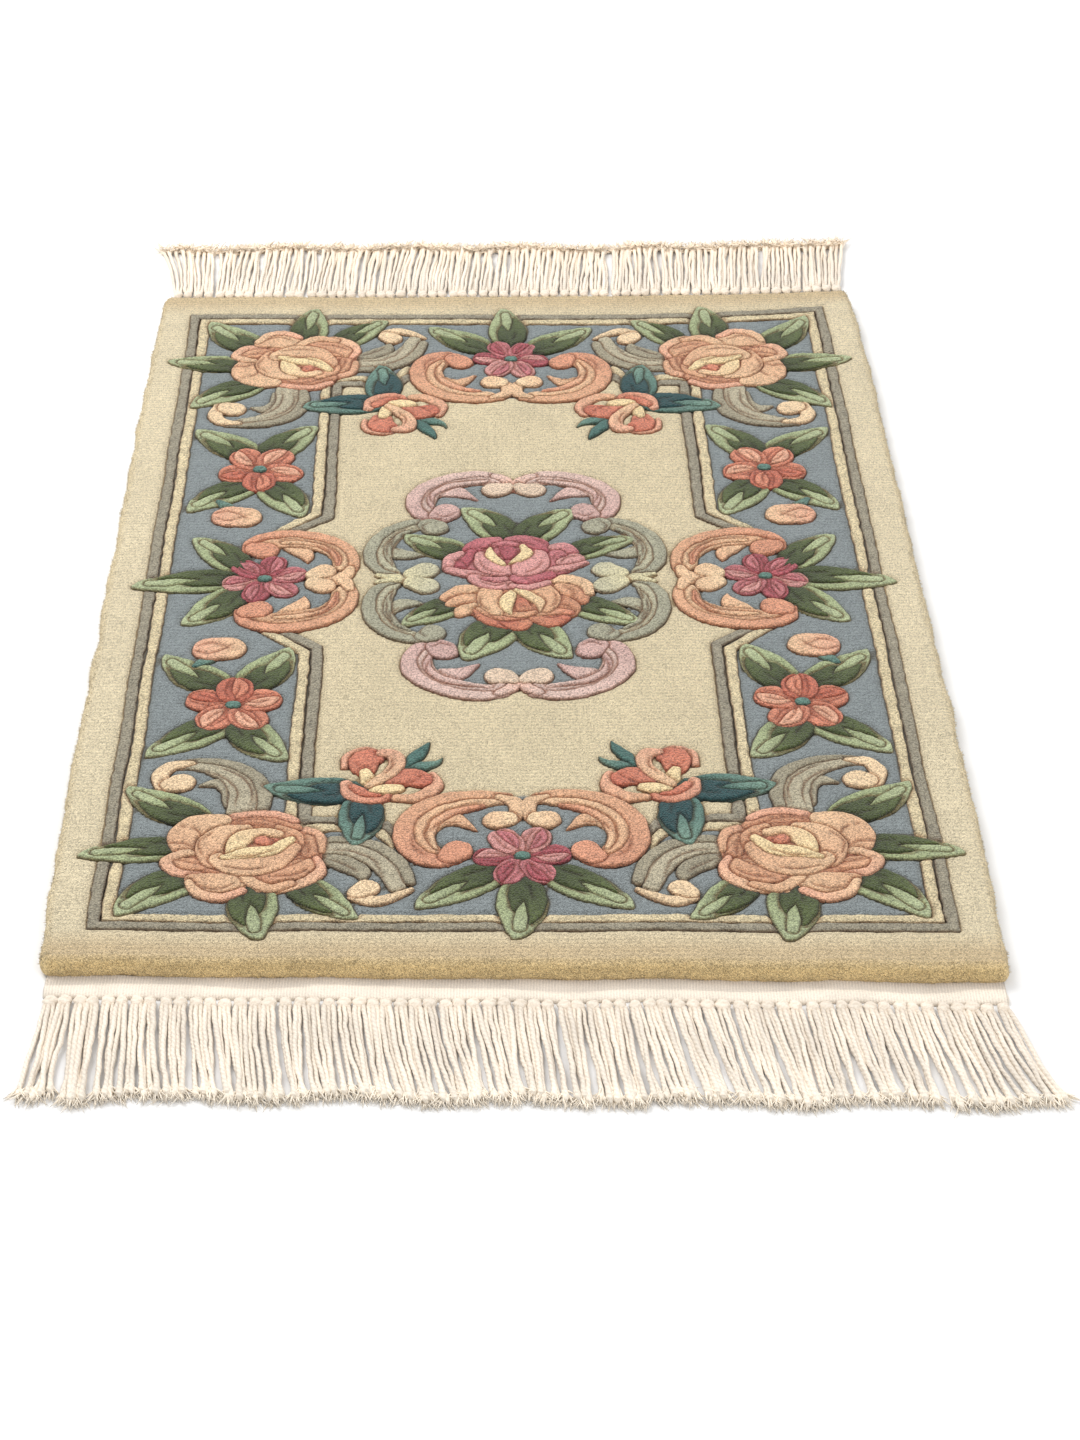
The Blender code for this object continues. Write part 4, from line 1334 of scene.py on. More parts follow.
def distances_to_line(points: np.ndarray, line: np.ndarray) -> np.ndarray:
    """How far each point is from a closed line of straight pieces.

    Args:
        points: Places, one row each.
        line: The line's corners.

    Returns:
        One distance for each point.
    """
    step = np.roll(line, -1, axis=0) - line
    nearest = np.full(len(points), np.inf)
    for start, run in zip(line, step):
        from_start = points - start
        share = np.clip(from_start @ run / (run @ run), 0.0, 1.0)
        nearest = np.minimum(nearest, np.linalg.norm(from_start - share[:, None] * run, axis=1))
    return nearest


def are_inside(points: np.ndarray, line: np.ndarray) -> np.ndarray:
    """Whether each point is inside a closed line, by the edges that a ray along +X crosses.

    Args:
        points: Rows of x and y.
        line: A closed outline's corners.

    Returns:
        True for each point inside.
    """
    inside = np.zeros(len(points), bool)
    for start, stop in zip(line, np.roll(line, -1, axis=0)):
        if start[1] == stop[1]:
            continue
        spans = (start[1] > points[:, 1]) != (stop[1] > points[:, 1])
        crossing = start[0] + (points[:, 1] - start[1]) * (stop[0] - start[0]) / (stop[1] - start[1])
        inside ^= spans & (points[:, 0] < crossing)
    return inside


@dataclass
class PileGround:
    """The low pile between the motifs, with its rolled edges, as one closed sheet."""

    width: float = 0.600
    length: float = 0.915
    roll: float = 0.0065
    bulge: float = 0.0016
    # How far the pile swells past its foundation at both long sides
    fullness: float = 0.0032
    columns: int = 194
    rows: int = 296
    roll_steps: int = 9
    groove: float = 0.0016
    groove_reach: float = 0.0028
    # How far inside the floor's edge of the rim lies, and the groove's depth under a motif
    undercut: float = 0.0012
    deepest: float = 1.28
    border_half: tuple[float, float] = (0.266, 0.417)
    # Where the end margins' paler dye starts, and the length of its change
    end_dye: tuple[float, float] = (0.425, 0.02)
    # How much painted shade the ends' and the sides' rolled rims take, and by what overshoot it is full
    rim_shade_shares: tuple[float, float] = (1.0, 0.35)
    rim_shade_reach: float = 0.45
    # Corners of one quarter of the field and of the medallion's blue ground, near left, in millimetres
    field_quarter: tuple[tuple[float, float], ...] = (
        (126, 12), (121, 30), (124, 52), (140, 69), (165, 76), (174, 82), (148, 103), (148, 315), (98, 315),
        (80, 336),
        (76, 318), (66, 300), (50, 289), (30, 284), (0, 286))
    medallion_quarter: tuple[tuple[float, float], ...] = (
        (96, 12), (103, 30), (106, 50), (102, 68), (92, 83), (75, 93), (70, 104), (77, 122), (74, 140),
        (62, 153),
        (46, 162), (27, 165), (8, 158), (0, 152))

    def closed_outline(self, quarter: tuple[tuple[float, float], ...]) -> np.ndarray:
        """A whole outline from its near left quarter, which runs from the side to the end.

        Args:
            quarter: One quarter's corners, in millimetres.

        Returns:
            The whole outline's corners, in metres.
        """
        rows = LAYING.evened(np.array(quarter, float)) * MM
        near_left, far_left = rows * (-1, -1), rows[::-1] * (-1, 1)
        far_right, near_right = rows * (1, 1), rows[::-1] * (1, -1)
        return np.vstack([near_left, near_right, far_right, far_left])

    def surface(self, s: np.ndarray, t: np.ndarray) -> tuple[np.ndarray, np.ndarray, np.ndarray, np.ndarray]:
        """The ground's level top and its rolled sides, as a function of two parameters.

        s and t run from -1 to 1 over the level core and past it by up to 1. There the larger
        overshoot turns the place through a quarter circle: out by its sine, down by one less its
        cosine. Past the quarter circle it drops to the floor, bulging by half a sine. The rolled
        sides also wander in and out by ripples.

        Args:
            s: Places across.
            t: Places along, in the same shape.

        Returns:
            Places x, y, z on an even rug, and the overshoot from 0 on top to 1 at the floor.
        """
        core_y = self.length / 2 - self.roll
        core_x = self.width / 2 - self.roll + self.fullness * (1 - np.abs(np.clip(t, -1, 1)) ** 9)
        past_x = np.sign(s) * np.maximum(np.abs(s) - 1, 0)
        past_y = np.sign(t) * np.maximum(np.abs(t) - 1, 0)
        past = np.maximum(np.abs(past_x), np.abs(past_y))
        length = np.hypot(past_x, past_y) + 1e-12
        turn = np.clip(past / 0.6, 0, 1) * math.pi / 2
        drop = np.clip((past - 0.6) / 0.4, 0, 1)
        out = self.roll * np.sin(turn) + self.bulge * np.sin(drop * math.pi) - self.undercut * drop
        x = np.clip(s, -1, 1) * core_x + out * past_x / length
        y = np.clip(t, -1, 1) * core_y + out * past_y / length
        z = GROUND_HEIGHT - self.roll * (1 - np.cos(turn)) - (GROUND_HEIGHT - self.roll) * drop
        uneven = 0.0007 * ripple(x, y, 0.05, 45) + 0.0005 * ripple(x, y, 0.012, 46)
        x = x + uneven * np.clip(past_x * 3, -1, 1)
        y = y + uneven * np.clip(past_y * 3, -1, 1)
        return x, y, z, past

    def grid(self) -> tuple[np.ndarray, np.ndarray, np.ndarray, np.ndarray]:
        """The ground's surface on a grid, with extra rows round its rolled sides.

        Returns:
            What surface gives, over the whole grid.
        """
        over = np.arange(1, self.roll_steps + 1) / self.roll_steps
        s = np.concatenate([-1 - over[::-1], np.linspace(-1, 1, self.columns), 1 + over])
        t = np.concatenate([-1 - over[::-1], np.linspace(-1, 1, self.rows), 1 + over])
        return self.surface(*np.meshgrid(s, t, indexing="ij"))

    def band_distance(self, x: np.ndarray, y: np.ndarray, bands: Bands) -> np.ndarray:
        """How far the grid's places lie outside the stripes of the border and the inner frame.

        Args:
            x: Places across, in metres.
            y: Places along, in metres.
            bands: The stripes.

        Returns:
            The gap to the nearest band, in metres.
        """
        nearest = np.full(x.shape, 1.0)
        for _, half_width, half_length in bands.border:
            edge = np.maximum(np.abs(x) - half_width, np.abs(y) - half_length)
            nearest = np.minimum(nearest, np.abs(edge) - bands.half_width)
        points = np.column_stack([x.ravel(), y.ravel()])
        for _, line in bands.frame:
            quarter = LAYING.evened(np.array(line, float)) * MM
            for signs in Repeat.QUARTERS.value:
                runs = quarter * np.array(signs)
                looped = np.vstack([runs, runs[-2:0:-1]])
                gap = distances_to_line(points, looped).reshape(x.shape) - bands.half_width
                nearest = np.minimum(nearest, gap)
        return nearest

    def dyes(self, x: np.ndarray, y: np.ndarray, past: np.ndarray) -> np.ndarray:
        """The ground's colours: margins, blue border, cream field and the medallion's blue, and painted shade
        on the rolled rims.

        Args:
            x: Places across, in metres.
            y: Places along, in metres.
            past: The overshoot, from 0 on top to 1 at the floor.

        Returns:
            The colour at every place.
        """
        points = np.column_stack([x.ravel(), y.ravel()])
        in_border = (np.abs(x) < self.border_half[0]) & (np.abs(y) < self.border_half[1])
        in_field = are_inside(points, self.closed_outline(self.field_quarter)).reshape(x.shape)
        in_medallion = are_inside(points, self.closed_outline(self.medallion_quarter)).reshape(x.shape)
        end_share = np.clip((np.abs(y) - self.end_dye[0]) / self.end_dye[1], 0, 1)[..., None]
        dye = blended(Yarn.MARGIN.linear, Yarn.END_MARGIN.linear, end_share)
        dye = np.where(in_border[..., None], Yarn.BLUE.linear, dye)
        dye = np.where(in_field[..., None], Yarn.FIELD.linear, dye)
        dye = np.where(in_medallion[..., None], Yarn.BLUE.linear, dye)
        # Painted shade on the rolled rims: full on the near and far end faces, weaker on the sides
        rim_shade = np.where(np.abs(y) > self.length / 2 - self.roll, *self.rim_shade_shares)
        rim_shade = np.clip(past / self.rim_shade_reach, 0, 1) * rim_shade
        dye = blended(dye, Yarn.PAINTED_RIM_SHADE.linear, rim_shade[..., None])
        return dye * (1 + 0.025 * ripple(x, y, 0.07, 41))[..., None]

    def build(self, pattern: Pattern, bands: Bands, material: bpy.types.Material) -> bpy.types.Object:
        """Make the ground pile.

        The grid's top dips into a groove beside the motifs and stripes, by the groove's depth
        times the squared share of its reach that is left. One flat face over the rim's lowest
        points closes the underside.

        Args:
            pattern: The raised strokes, for the grooves round them.
            bands: The stripes, for the grooves beside them.
            material: The ground's wool finish.

        Returns:
            The closed mesh.
        """
        x, y, z, past = self.grid()
        gap = np.minimum(pattern.gap(x, y, cut=False, reach=0.012), self.band_distance(x, y, bands))
        level = past == 0
        depth = np.clip(1 - gap / self.groove_reach, 0.0, self.deepest)
        z = z - self.groove * depth * depth * level
        z = z + level * (0.00022 * ripple(x, y, 0.007, 43) + 0.0003 * ripple(x, y, 0.04, 44))
        dye = self.dyes(x, y, past)
        x, y = LAYING.laid(x, y)
        count_x, count_y = x.shape
        index = np.arange(x.size).reshape(count_x, count_y)
        quads = np.stack([index[:-1, :-1], index[1:, :-1], index[1:, 1:], index[:-1, 1:]], axis=-1)
        rim = np.concatenate([index[:, 0], index[-1, 1:], index[-2::-1, -1], index[0, -2:0:-1]])
        mesh = bpy.data.meshes.new("pile_ground")
        places = np.column_stack([x.ravel(), y.ravel(), z.ravel()])
        mesh.from_pydata(places, [], [*quads.reshape(-1, 4).tolist(), rim[::-1].tolist()])
        # The gap to the motifs and stripes goes where the finish reads it, to paint shade into the grooves
        add_values(mesh, dye.reshape(-1, 3), gap.ravel(), np.zeros((x.size, 2)))
        mesh.polygons.foreach_set("use_smooth", np.ones(len(mesh.polygons), bool))
        mesh.polygons[len(mesh.polygons) - 1].use_smooth = False
        mesh.update()
        obj = show("pile_ground", mesh, material)
        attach(obj, "root")
        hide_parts("pile")
        return obj


@dataclass
class RimFibres:
    """Loose wool fibres that stand out all round the pile's rolled edge."""

    count: int = 7200
    length: float = 0.0026
    radius: float = 0.00022
    rooted: float = 0.0004
    seed: int = 9

    def build(self, ground: PileGround, material: bpy.types.Material) -> bpy.types.Object:
        """Make the fibres: each a tube of three sides that tapers to a point at both ends.

        A fibre starts just under the pile's surface and points along its normal, which is the
        cross product of the surface's two slopes, turned aside at random.

        Args:
            ground: The pile that they grow from.
            material: The wool finish.

        Returns:
            The joined mesh.
        """
        draw = np.random.default_rng(self.seed)
        side_share = ground.length / (ground.length + ground.width)
        on_side = draw.uniform(0, 1, self.count) < side_share
        past = 1 + draw.uniform(0.08, 0.8, self.count)
        sign = draw.choice([-1.0, 1.0], self.count)
        free = draw.uniform(-1.02, 1.02, self.count)
        s, t = np.where(on_side, sign * past, free), np.where(on_side, free, sign * past)
        root = np.stack(ground.surface(s, t)[:3], axis=1)
        slope_s = np.stack(ground.surface(s + 0.01, t)[:3], axis=1) - root
        slope_t = np.stack(ground.surface(s, t + 0.01)[:3], axis=1) - root
        normal = np.cross(slope_s, slope_t)
        normal /= np.linalg.norm(normal, axis=1, keepdims=True) + 1e-12
        heading = normal + draw.normal(0, 0.42, (self.count, 3))
        heading /= np.linalg.norm(heading, axis=1, keepdims=True)
        reach = self.length * draw.uniform(0.45, 1.0, (self.count, 1, 1))
        along = np.array([-0.3, 0.35, 1.0])[None, :, None]
        centre = root[:, None] - normal[:, None] * self.rooted + heading[:, None] * reach * along
        across = np.cross(heading, np.array([0.31, 0.22, 0.92]))
        across /= np.linalg.norm(across, axis=1, keepdims=True)
        up = np.cross(heading, across)
        angle = np.array([0.0, math.tau / 3, 2 * math.tau / 3])
        size = self.radius * np.array([0.0, 1.0, 0.0])[None, :, None, None]
        spoke = across[:, None, None] * np.cos(angle)[:, None] + up[:, None, None] * np.sin(angle)[:, None]
        rings = centre[:, :, None] + size * spoke
        x, y = LAYING.laid(rings[..., 0], rings[..., 1])
        rings = np.stack([x, y, np.maximum(rings[..., 2], 0.0002)], axis=-1)
        # Fibres low on the rims take the rims' painted shade, weaker on the sides
        rim_shade = np.clip((past - 1) / 0.5, 0, 1)[:, None] * np.where(on_side, 0.2, 1.0)[:, None]
        dye = blended(Yarn.MARGIN.linear, Yarn.PAINTED_RIM_SHADE.linear, rim_shade)
        dye = dye * draw.uniform(0.88, 1.12, (self.count, 1))
        parts = MeshParts()
        parts.add_tubes(rings, np.broadcast_to(dye[:, None, None], rings.shape), np.zeros(rings.shape[:3]))
        obj = parts.build("pile_rim_fibres", material)
        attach(obj, "root")
        return obj


@dataclass
class WovenEnd:
    """A flat-woven cotton end: ribbed, with painted shade by the pile, white and puffed by the knots."""

    side: int
    node: str
    width: float = COTTON_WIDTH
    length: float = 0.0215
    start: float = 0.4560
    thickness: float = 0.0022
    ridge: float = 0.0010
    column_pitch: float = 0.003

    def build(self, material: bpy.types.Material) -> bpy.types.Object:
        """Make the woven end.

        Its profile runs over the top from the pile to the knots and back along the floor. The
        height is the thickness and a soft ridge by the knots. The finish holds its ribs.

        Args:
            material: The cotton finish.

        Returns:
            The closed mesh.
        """
        columns = int(self.width / self.column_pitch)
        x = np.linspace(-self.width / 2, self.width / 2, columns)[:, None]
        v = np.array([0.0, 0.0, 0.06, 0.16, 0.27, 0.38, 0.48, 0.56, 0.64, 0.74, 0.84, 0.93, 1.0, 1.0])[None]
        top = np.array([0, 0.6, 1, 1, 1, 1, 1, 1, 1, 1, 1, 0.9, 0.55, 0])[None]
        # Painted shade on the part by the pile, up to a wandering line; past it the plain cotton
        border = 0.50 + 0.10 * ripple(x, 0 * x, 0.12, 51 + self.side)
        white = np.clip((v - border) / 0.06, 0, 1)
        ridge = np.sin(np.clip((v - border) / (1 - border), 0, 1) * math.pi) * self.ridge
        z = top * (self.thickness + ridge + 0.00015 * ripple(x, v * self.length, 0.012, 54))
        y = self.side * (self.start + self.length * v + 0.0008 * ripple(x, 0 * x, 0.05, 53))
        x, y = LAYING.laid(np.broadcast_to(x, z.shape), np.broadcast_to(y, z.shape))
        dye = blended(Yarn.COTTON_PAINTED_SHADE.linear, Yarn.COTTON.linear, white[..., None])
        parts = MeshParts()
        ring = np.stack([x, y, z], axis=-1)
        closed = np.concatenate([self.flat_end(ring[:1]), ring, self.flat_end(ring[-1:])])
        dye = np.concatenate([dye[:1], dye, dye[-1:]])
        parts.add_tubes(closed[None], dye[None], np.zeros(dye.shape[:2])[None])
        obj = parts.build("woven_end_near" if self.side < 0 else "woven_end_far", material)
        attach(obj, "root")
        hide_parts(self.node)
        return obj

    def flat_end(self, ring: np.ndarray) -> np.ndarray:
        """A ring drawn together to one point, which closes the strip's end."""
        return np.broadcast_to(ring.mean(axis=1, keepdims=True), ring.shape).copy()


@dataclass
class Fringe:
    """One end's fringe: a row of knots, three cords a knot, and frayed tips."""

    side: int
    node: str
    width: float = COTTON_WIDTH
    knots: int = 66
    cords_per_knot: int = 3
    start: float = 0.4790
    knot_length: float = 0.0070
    # Half width, half length and half height of a knot
    knot_half: tuple[float, float, float] = (0.0043, 0.0049, 0.0027)
    cord_length: float = 0.081
    radius: float = 0.00178
    # How far a cord starts inside its knot, and how far apart the cords leave it
    tucked: float = 0.0045
    root_pitch: float = 0.0023
    # How unevenly the knots' cords, and single cords, lean at their tips
    clump_spread: float = 0.0017
    own_spread: float = 0.0020
    # The length in which a cord's plies turn half round, and how deep they are
    ply_length: float = 0.0065
    ply_depth: float = 0.14
    cord_samples: int = 20
    cord_sides: int = 6
    fibres_per_tip: int = 16
    fibre_length: float = 0.0135
    fibre_height: float = 0.0046
    fibre_radius: float = 0.00064
    fan: float = 0.36
    curl: float = 0.0032
    tip: Yarn = Yarn.COTTON_TIP
    # Where along a cord its tip's colour starts to show
    tip_start: float = 0.8
    # How strong the painted shade at the cords' roots by the knots is
    root_shade: float = 1.1
    seed: int = 5

    def sweep(self, share: np.ndarray) -> np.ndarray:
        """How far to the right the tips lie, by their place from -1 to 1 across the rug."""
        if self.side < 0:
            places = (-1.0, -0.97, -0.9, -0.8, -0.7, -0.3, 0.0, 0.3, 0.6, 0.8, 0.9, 1.0)
            reach = (-6.0, -2.0, 2.0, 5.0, 10.0, 12.0, 10.0, 14.0, 12.0, 12.0, 17.0, 29.0)
        else:
            places = (-1.0, -0.95, -0.85, -0.5, 0.0, 0.5, 1.0)
            reach = (-14.0, -8.0, 0.0, 5.0, 5.0, 6.0, 9.0)
        return np.interp(share, places, reach) * MM

    def knot_places(self) -> np.ndarray:
        """The middles of the knots across the rug.

        Returns:
            The places across, in metres.
        """
        pitch = self.width / self.knots
        draw = np.random.default_rng(self.seed + self.side)
        places = -self.width / 2 + pitch * (np.arange(self.knots) + 0.5)
        return places + draw.uniform(-0.0009, 0.0009, self.knots)

    def cord_lines(self) -> np.ndarray:
        """Every cord's middle line, from its knot to its tip.

        A cord leaves its knot beside its neighbours, spreads to its own place within about a
        fifth of its length and bends sideways as the 1.3th power of the distance, with small
        waves of its own. Every other cord lies higher, across its neighbours.

        Returns:
            Places shaped (cords, samples, 3).
        """
        draw = np.random.default_rng(self.seed * 7 + self.side)
        count = self.knots * self.cords_per_knot
        s = np.linspace(0.0, 1.0, self.cord_samples)[None]
        knot_x = np.repeat(self.knot_places(), self.cords_per_knot)[:, None]
        slot = np.tile(np.arange(self.cords_per_knot) - (self.cords_per_knot - 1) / 2, self.knots)[:, None]
        spread = np.clip(s / 0.22, 0, 1) ** 0.7
        pitch = self.width / count
        x = knot_x + slot * (self.root_pitch + (pitch - self.root_pitch) * spread)
        clump = np.repeat(draw.normal(0, self.clump_spread, self.knots), self.cords_per_knot)[:, None]
        own = draw.normal(0, self.own_spread, (count, 1))
        x = x + (self.sweep(2 * x / self.width) + clump + own) * s**1.3
        phase, size = draw.uniform(0, math.tau, (count, 1)), draw.uniform(0.0004, 0.0016, (count, 1))
        x = x + size * np.sin(phase + s * 7.0) * s
        length = self.cord_length * (1 + draw.normal(0, 0.018, count))
        length = length + 0.0025 * np.sin(knot_x[:, 0] * 60 + self.side)
        y = self.start + self.knot_length - self.tucked + s * (length[:, None] + self.tucked)
        layer = np.where(np.arange(count) % 2 == 0, 0.0, 0.0019)[:, None]
        layer = layer + draw.uniform(0.0, 0.0007, (count, 1))
        z = self.radius + 0.0010 * np.exp(-s / 0.10) + layer * np.clip(s / 0.12, 0, 1) * (1 - 0.35 * s**3)
        x, y = LAYING.laid(x, self.side * y)
        return np.stack([x, y, z], axis=-1)

    def add_cords(self, parts: MeshParts) -> None:
        """Add the cords: two plies twisted into a tube, whose end flares into its frayed tip.

        The ring's radius is the cord's times 0.86 plus 0.14 times |cos(a - t)|, where a goes
        round the cord and t turns along it, so each ply shows as a ridge.

        Args:
            parts: What the cords are added to.
        """
        lines = self.cord_lines()
        draw = np.random.default_rng(self.seed * 11 + self.side)
        count, samples = lines.shape[:2]
        along = np.gradient(lines, axis=1)
        along /= np.linalg.norm(along, axis=-1, keepdims=True)
        across = np.stack([-along[..., 1], along[..., 0], np.zeros((count, samples))], axis=-1) * -self.side
        up = np.cross(across, along) * self.side
        up = up * np.sign(up[..., 2:3])
        angle = np.linspace(0, math.tau, self.cord_sides, endpoint=False)[None, None]
        s = np.linspace(0, 1, samples)[None, :, None]
        twist = s * self.cord_length / self.ply_length * math.pi + draw.uniform(0, math.tau, (count, 1, 1))
        flare = 1 + np.clip((s - 0.84) / 0.16, 0, 1) ** 1.5
        size = self.radius * draw.uniform(0.88, 1.1, (count, 1, 1)) * flare
        size = size * (1 - self.ply_depth + self.ply_depth * np.abs(np.cos(angle - twist)))
        size = size * np.where((s == 0) | (s == 1), 0.0, 1.0)
        rings = lines[:, :, None] + across[:, :, None] * (size * np.cos(angle))[..., None]
        rings = rings + up[:, :, None] * (size * np.sin(angle))[..., None]
        rings[..., 2] = np.maximum(rings[..., 2], 0.00012)
        tip = np.clip((s - self.tip_start) / (1 - self.tip_start), 0, 1) * np.ones_like(size)
        tone = draw.uniform(0.93, 1.04, (count, 1, 1))
        tone = tone * (1 + 0.04 * np.sin(9 * s + draw.uniform(0, 6, (count, 1, 1))))
        dye = blended(Yarn.COTTON.linear, self.tip.linear, tip[..., None])
        dye = dye * (tone * np.ones_like(size))[..., None]
        # Painted shade on each cord's underside, and at its root by the knot
        low = np.clip(-np.sin(angle) + 0.15, 0, 1) + self.root_shade * bell(s, 0.06)
        low = np.clip(low * np.ones_like(size), 0, 1.3)
        around, run = np.broadcast_arrays(angle / math.tau, s * self.cord_length, size)[:2]
        parts.add_tubes(rings, dye, 0.5 * low, np.stack([around, run], axis=-1))

    def add_tips(self, parts: MeshParts) -> None:
        """Add the frayed fibres: thin tapered tubes that fan out from each cord's end.

        A fibre leaves the cord's heading by a random angle, curls sideways as the square of the
        distance, and sinks towards the floor. Its radius is half a sine along its length.

        Args:
            parts: What the fibres are added to.
        """
        lines = self.cord_lines()
        draw = np.random.default_rng(self.seed * 13 + self.side)
        count, fibres = len(lines), self.fibres_per_tip
        ends = np.repeat(lines[:, -3], fibres, axis=0)
        heading = np.repeat(lines[:, -1] - lines[:, -4], fibres, axis=0)
        heading /= np.linalg.norm(heading, axis=1, keepdims=True)
        fan = draw.normal(0, self.fan, count * fibres)
        cos, sin = np.cos(fan), np.sin(fan)
        ahead_x, ahead_y = heading[:, 0], heading[:, 1]
        direction = np.stack([ahead_x * cos - ahead_y * sin, ahead_x * sin + ahead_y * cos], axis=1)
        s = np.linspace(0, 1, 4)[None, :, None]
        reach = self.fibre_length * draw.uniform(0.5, 1.25, (count * fibres, 1, 1))
        curl = draw.normal(0, self.curl, (count * fibres, 1, 1)) * s**2
        side = np.stack([-direction[:, 1], direction[:, 0]], axis=1)[:, None]
        plan = ends[:, None, :2] + direction[:, None] * reach * s + side * curl
        z = draw.uniform(0.0004, self.fibre_height, (count * fibres, 1)) * (1 - 0.35 * s[..., 0]) + 0.0002
        centre = np.concatenate([plan, z[..., None]], axis=-1)
        angle = np.array([math.pi / 2, math.pi * 7 / 6, math.pi * 11 / 6])[None, None]
        size = self.fibre_radius * np.sin(math.pi * np.clip(s * 0.82 + 0.18, 0, 1))
        size = size * np.array([0, 1, 1, 0])[None, :, None]
        across = np.concatenate([side, np.zeros((len(side), 1, 1))], axis=-1)[:, :, None]
        rings = centre[:, :, None] + across * (size * np.cos(angle))[..., None]
        rings = rings + np.array([0, 0, 1.0]) * (size * np.sin(angle))[..., None]
        rings[..., 2] = np.maximum(rings[..., 2], 0.0001)
        tone = draw.uniform(1.0, 1.12, (count * fibres, 1, 1))
        dye = self.tip.linear * (tone * np.ones(rings.shape[:3]))[..., None]
        parts.add_tubes(rings, dye, np.zeros(rings.shape[:3]))

    def add_knots(self, parts: MeshParts) -> None:
        """Add the knots: flattened balls whose radius swells along two wraps of yarn.

        With a from one pole to the other along the rug and b round the waist, the radius is the
        knot's times 1 plus 0.12 times the cosine of (2 b + 5 a), from a phase of its own.

        Args:
            parts: What the knots are added to.
        """
        draw = np.random.default_rng(self.seed * 17 + self.side)
        places = self.knot_places()[:, None, None]
        a = np.linspace(0, math.pi, 9)[None, :, None]
        b = np.linspace(0, math.tau, 12, endpoint=False)[None, None]
        swell = 1 + 0.12 * np.cos(2 * b + 5 * a + draw.uniform(0, 6, places.shape))
        wide, long, high = self.knot_half
        wide = wide * draw.uniform(0.9, 1.1, places.shape)
        x = places + wide * swell * np.sin(a) * np.cos(b)
        y = self.start + 0.0034 + draw.normal(0, 0.0005, places.shape) - long * np.cos(a) * np.ones_like(x)
        z = 0.0026 + high * swell * np.sin(a) * np.sin(b)
        x, y = LAYING.laid(x, self.side * y)
        rings = np.stack([x, y, np.maximum(z, 0.0001)], axis=-1)
        dye = Yarn.COTTON.linear * (draw.uniform(0.95, 1.04, places.shape) * np.ones_like(x))[..., None]
        # Painted shade in the dips between the wraps of yarn
        painted_shade = np.clip(1 - swell, 0, 1) * 3.0 * np.ones_like(x)
        parts.add_tubes(rings, dye, np.clip(painted_shade, 0, 0.6))

    def build(self, material: bpy.types.Material) -> list[bpy.types.Object]:
        """Make the fringe.

        Args:
            material: The cotton finish.

        Returns:
            The cords with their knots, and the frayed tips.
        """
        end = "near" if self.side < 0 else "far"
        cords, tips = MeshParts(), MeshParts()
        self.add_cords(cords)
        self.add_knots(cords)
        self.add_tips(tips)
        built = [cords.build(f"fringe_cords_{end}", material), tips.build(f"fringe_tips_{end}", material)]
        for obj in built:
            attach(obj, "root")
        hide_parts(self.node)
        return built


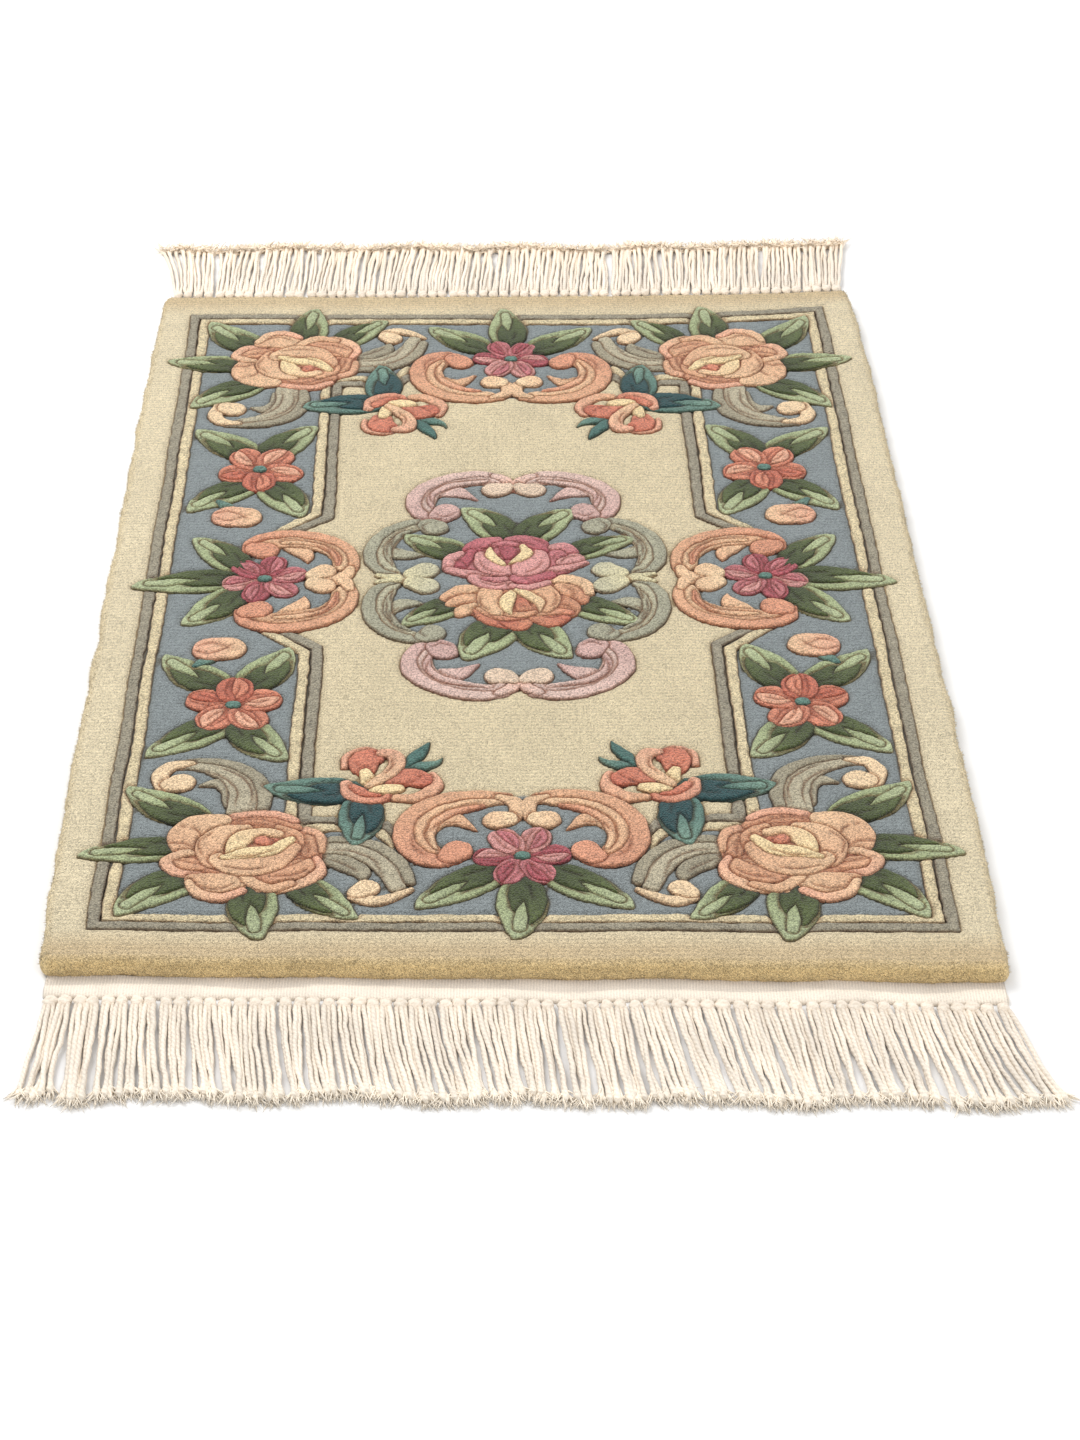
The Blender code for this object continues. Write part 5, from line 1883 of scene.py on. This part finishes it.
@dataclass(frozen=True)
class Studio:
    """A plain pale floor, soft light and the camera."""

    camera_place: tuple[float, float, float] = (-0.0332, -1.8295, 1.1596)
    yaw: float = math.radians(1.664)
    pitch: float = math.radians(35.001)
    roll: float = math.radians(-0.916)
    lens: float = 72.0
    floor_shade: float = 0.86
    # Name, place, size and power of each lamp
    lamps: tuple[tuple[str, tuple[float, float, float], float, float], ...] = (
        ("key", (-1.4, 1.2, 2.4), 1.6, 62.0), ("fill", (1.6, -1.6, 2.2), 2.2, 26.0))
    surrounding: float = 0.75

    def aim_camera(self) -> None:
        """Place the camera by its heading, its tilt downwards and its roll."""
        cp, sp = math.cos(self.pitch), math.sin(self.pitch)
        forward = Vector((math.sin(self.yaw) * cp, math.cos(self.yaw) * cp, -sp))
        right = Vector((math.cos(self.yaw), -math.sin(self.yaw), 0.0))
        down = forward.cross(right)
        rolled_right = right * math.cos(self.roll) + down * math.sin(self.roll)
        rolled_down = down * math.cos(self.roll) - right * math.sin(self.roll)
        camera = bpy.data.objects.new("camera", bpy.data.cameras.new("camera"))
        turn = Matrix((rolled_right, -rolled_down, -forward)).transposed()
        camera.matrix_world = Matrix.Translation(self.camera_place) @ turn.to_4x4()
        camera.data.lens = self.lens
        camera.data.sensor_width = 36.0
        camera.data.clip_start = 0.01
        bpy.context.scene.collection.objects.link(camera)
        bpy.context.scene.camera = camera

    def add_light(self, name: str, place: tuple[float, float, float], size: float, power: float) -> None:
        """Add a square lamp that faces the rug's middle.

        Args:
            name: The lamp's name.
            place: Where it hangs, in metres.
            size: Its width, in metres.
            power: Its power, in watts.
        """
        lamp = bpy.data.lights.new(name, "AREA")
        lamp.size = size
        lamp.energy = power
        obj = bpy.data.objects.new(name, lamp)
        obj.location = place
        obj.rotation_euler = (-Vector(place)).to_track_quat("-Z", "Y").to_euler()
        bpy.context.scene.collection.objects.link(obj)

    def build(self) -> None:
        """Make the floor, the lamps, the surrounding light and the camera."""
        n = Nodes("studio_floor")
        n.put(n.shader, "Base Color", (self.floor_shade, self.floor_shade, self.floor_shade, 1.0))
        n.put(n.shader, "Roughness", 0.9)
        mesh = bpy.data.meshes.new("studio_floor")
        corners = np.array([(-4, -4, 0), (4, -4, 0), (4, 5, 0), (-4, 5, 0)], float)
        mesh.from_pydata(corners, [], [(0, 1, 2, 3)])
        show("studio_floor", mesh, n.material)
        for lamp in self.lamps:
            self.add_light(*lamp)
        world = bpy.data.worlds.new("studio")
        bpy.context.scene.world = world
        world.use_nodes = True
        world.node_tree.nodes["Background"].inputs[0].default_value = (1.0, 1.0, 1.0, 1.0)
        world.node_tree.nodes["Background"].inputs[1].default_value = self.surrounding
        bpy.context.scene.view_settings.view_transform = "Standard"
        self.aim_camera()


def report(piece: bpy.types.Object) -> None:
    """Log a finished piece's name and how many faces it has."""
    LOG.info("%s: %d faces", piece.name, len(piece.data.polygons))


def main() -> None:
    """Build the rug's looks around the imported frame."""
    logging.basicConfig(level=logging.INFO, format="%(message)s")
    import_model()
    Studio().build()
    wool = WoolFinish().build()
    ground_wool = WoolFinish(name="wool_ground", strength=1.15, groove_width=0.0014, row_depth=0.13,
                             tuft_contrast=0.14, tuft=0.0011, fibre_contrast=0.12, between=0.30,
                             painted_shade_colour=(0.46, 0.38, 0.29)).build()
    cotton = CottonFinish().build()
    web_cotton = CottonFinish(name="woven_cotton", rib_pitch=0.0019, contrast=0.12).build()
    motifs, bands = CarvedMotifs(), Bands()
    pattern = Pattern({
        "corner_scrolls": corner_scrolls(),
        "corner_roses": corner_rose(),
        "garden_sprays": garden_spray(),
        "end_motifs": end_motif(),
        "side_motifs": side_motif(),
        "side_flowers": side_flower(),
        "medallion_scrolls": medallion_scrolls(),
        "medallion_leaves": medallion_leaves(),
        "middle_roses": peach_rose() + pink_rose(),
    })
    ground = PileGround()
    report(ground.build(pattern, bands, ground_wool))
    report(RimFibres().build(ground, wool))
    report(bands.build(pattern, wool))
    for name in pattern.groups:
        report(motifs.build(name, pattern, wool))
    near = Fringe(-1, "fringe_near", cord_length=0.083)
    far = Fringe(1, "fringe_far", cord_length=0.088, fibre_length=0.020, fibre_height=0.0080,
                 tip=Yarn.COTTON_TAN, tip_start=0.3, root_shade=0.4)
    for fringe, web in ((near, "web_near"), (far, "web_far")):
        report(WovenEnd(fringe.side, web).build(web_cotton))
        for obj in fringe.build(cotton):
            report(obj)


if __name__ == "__main__":
    main()
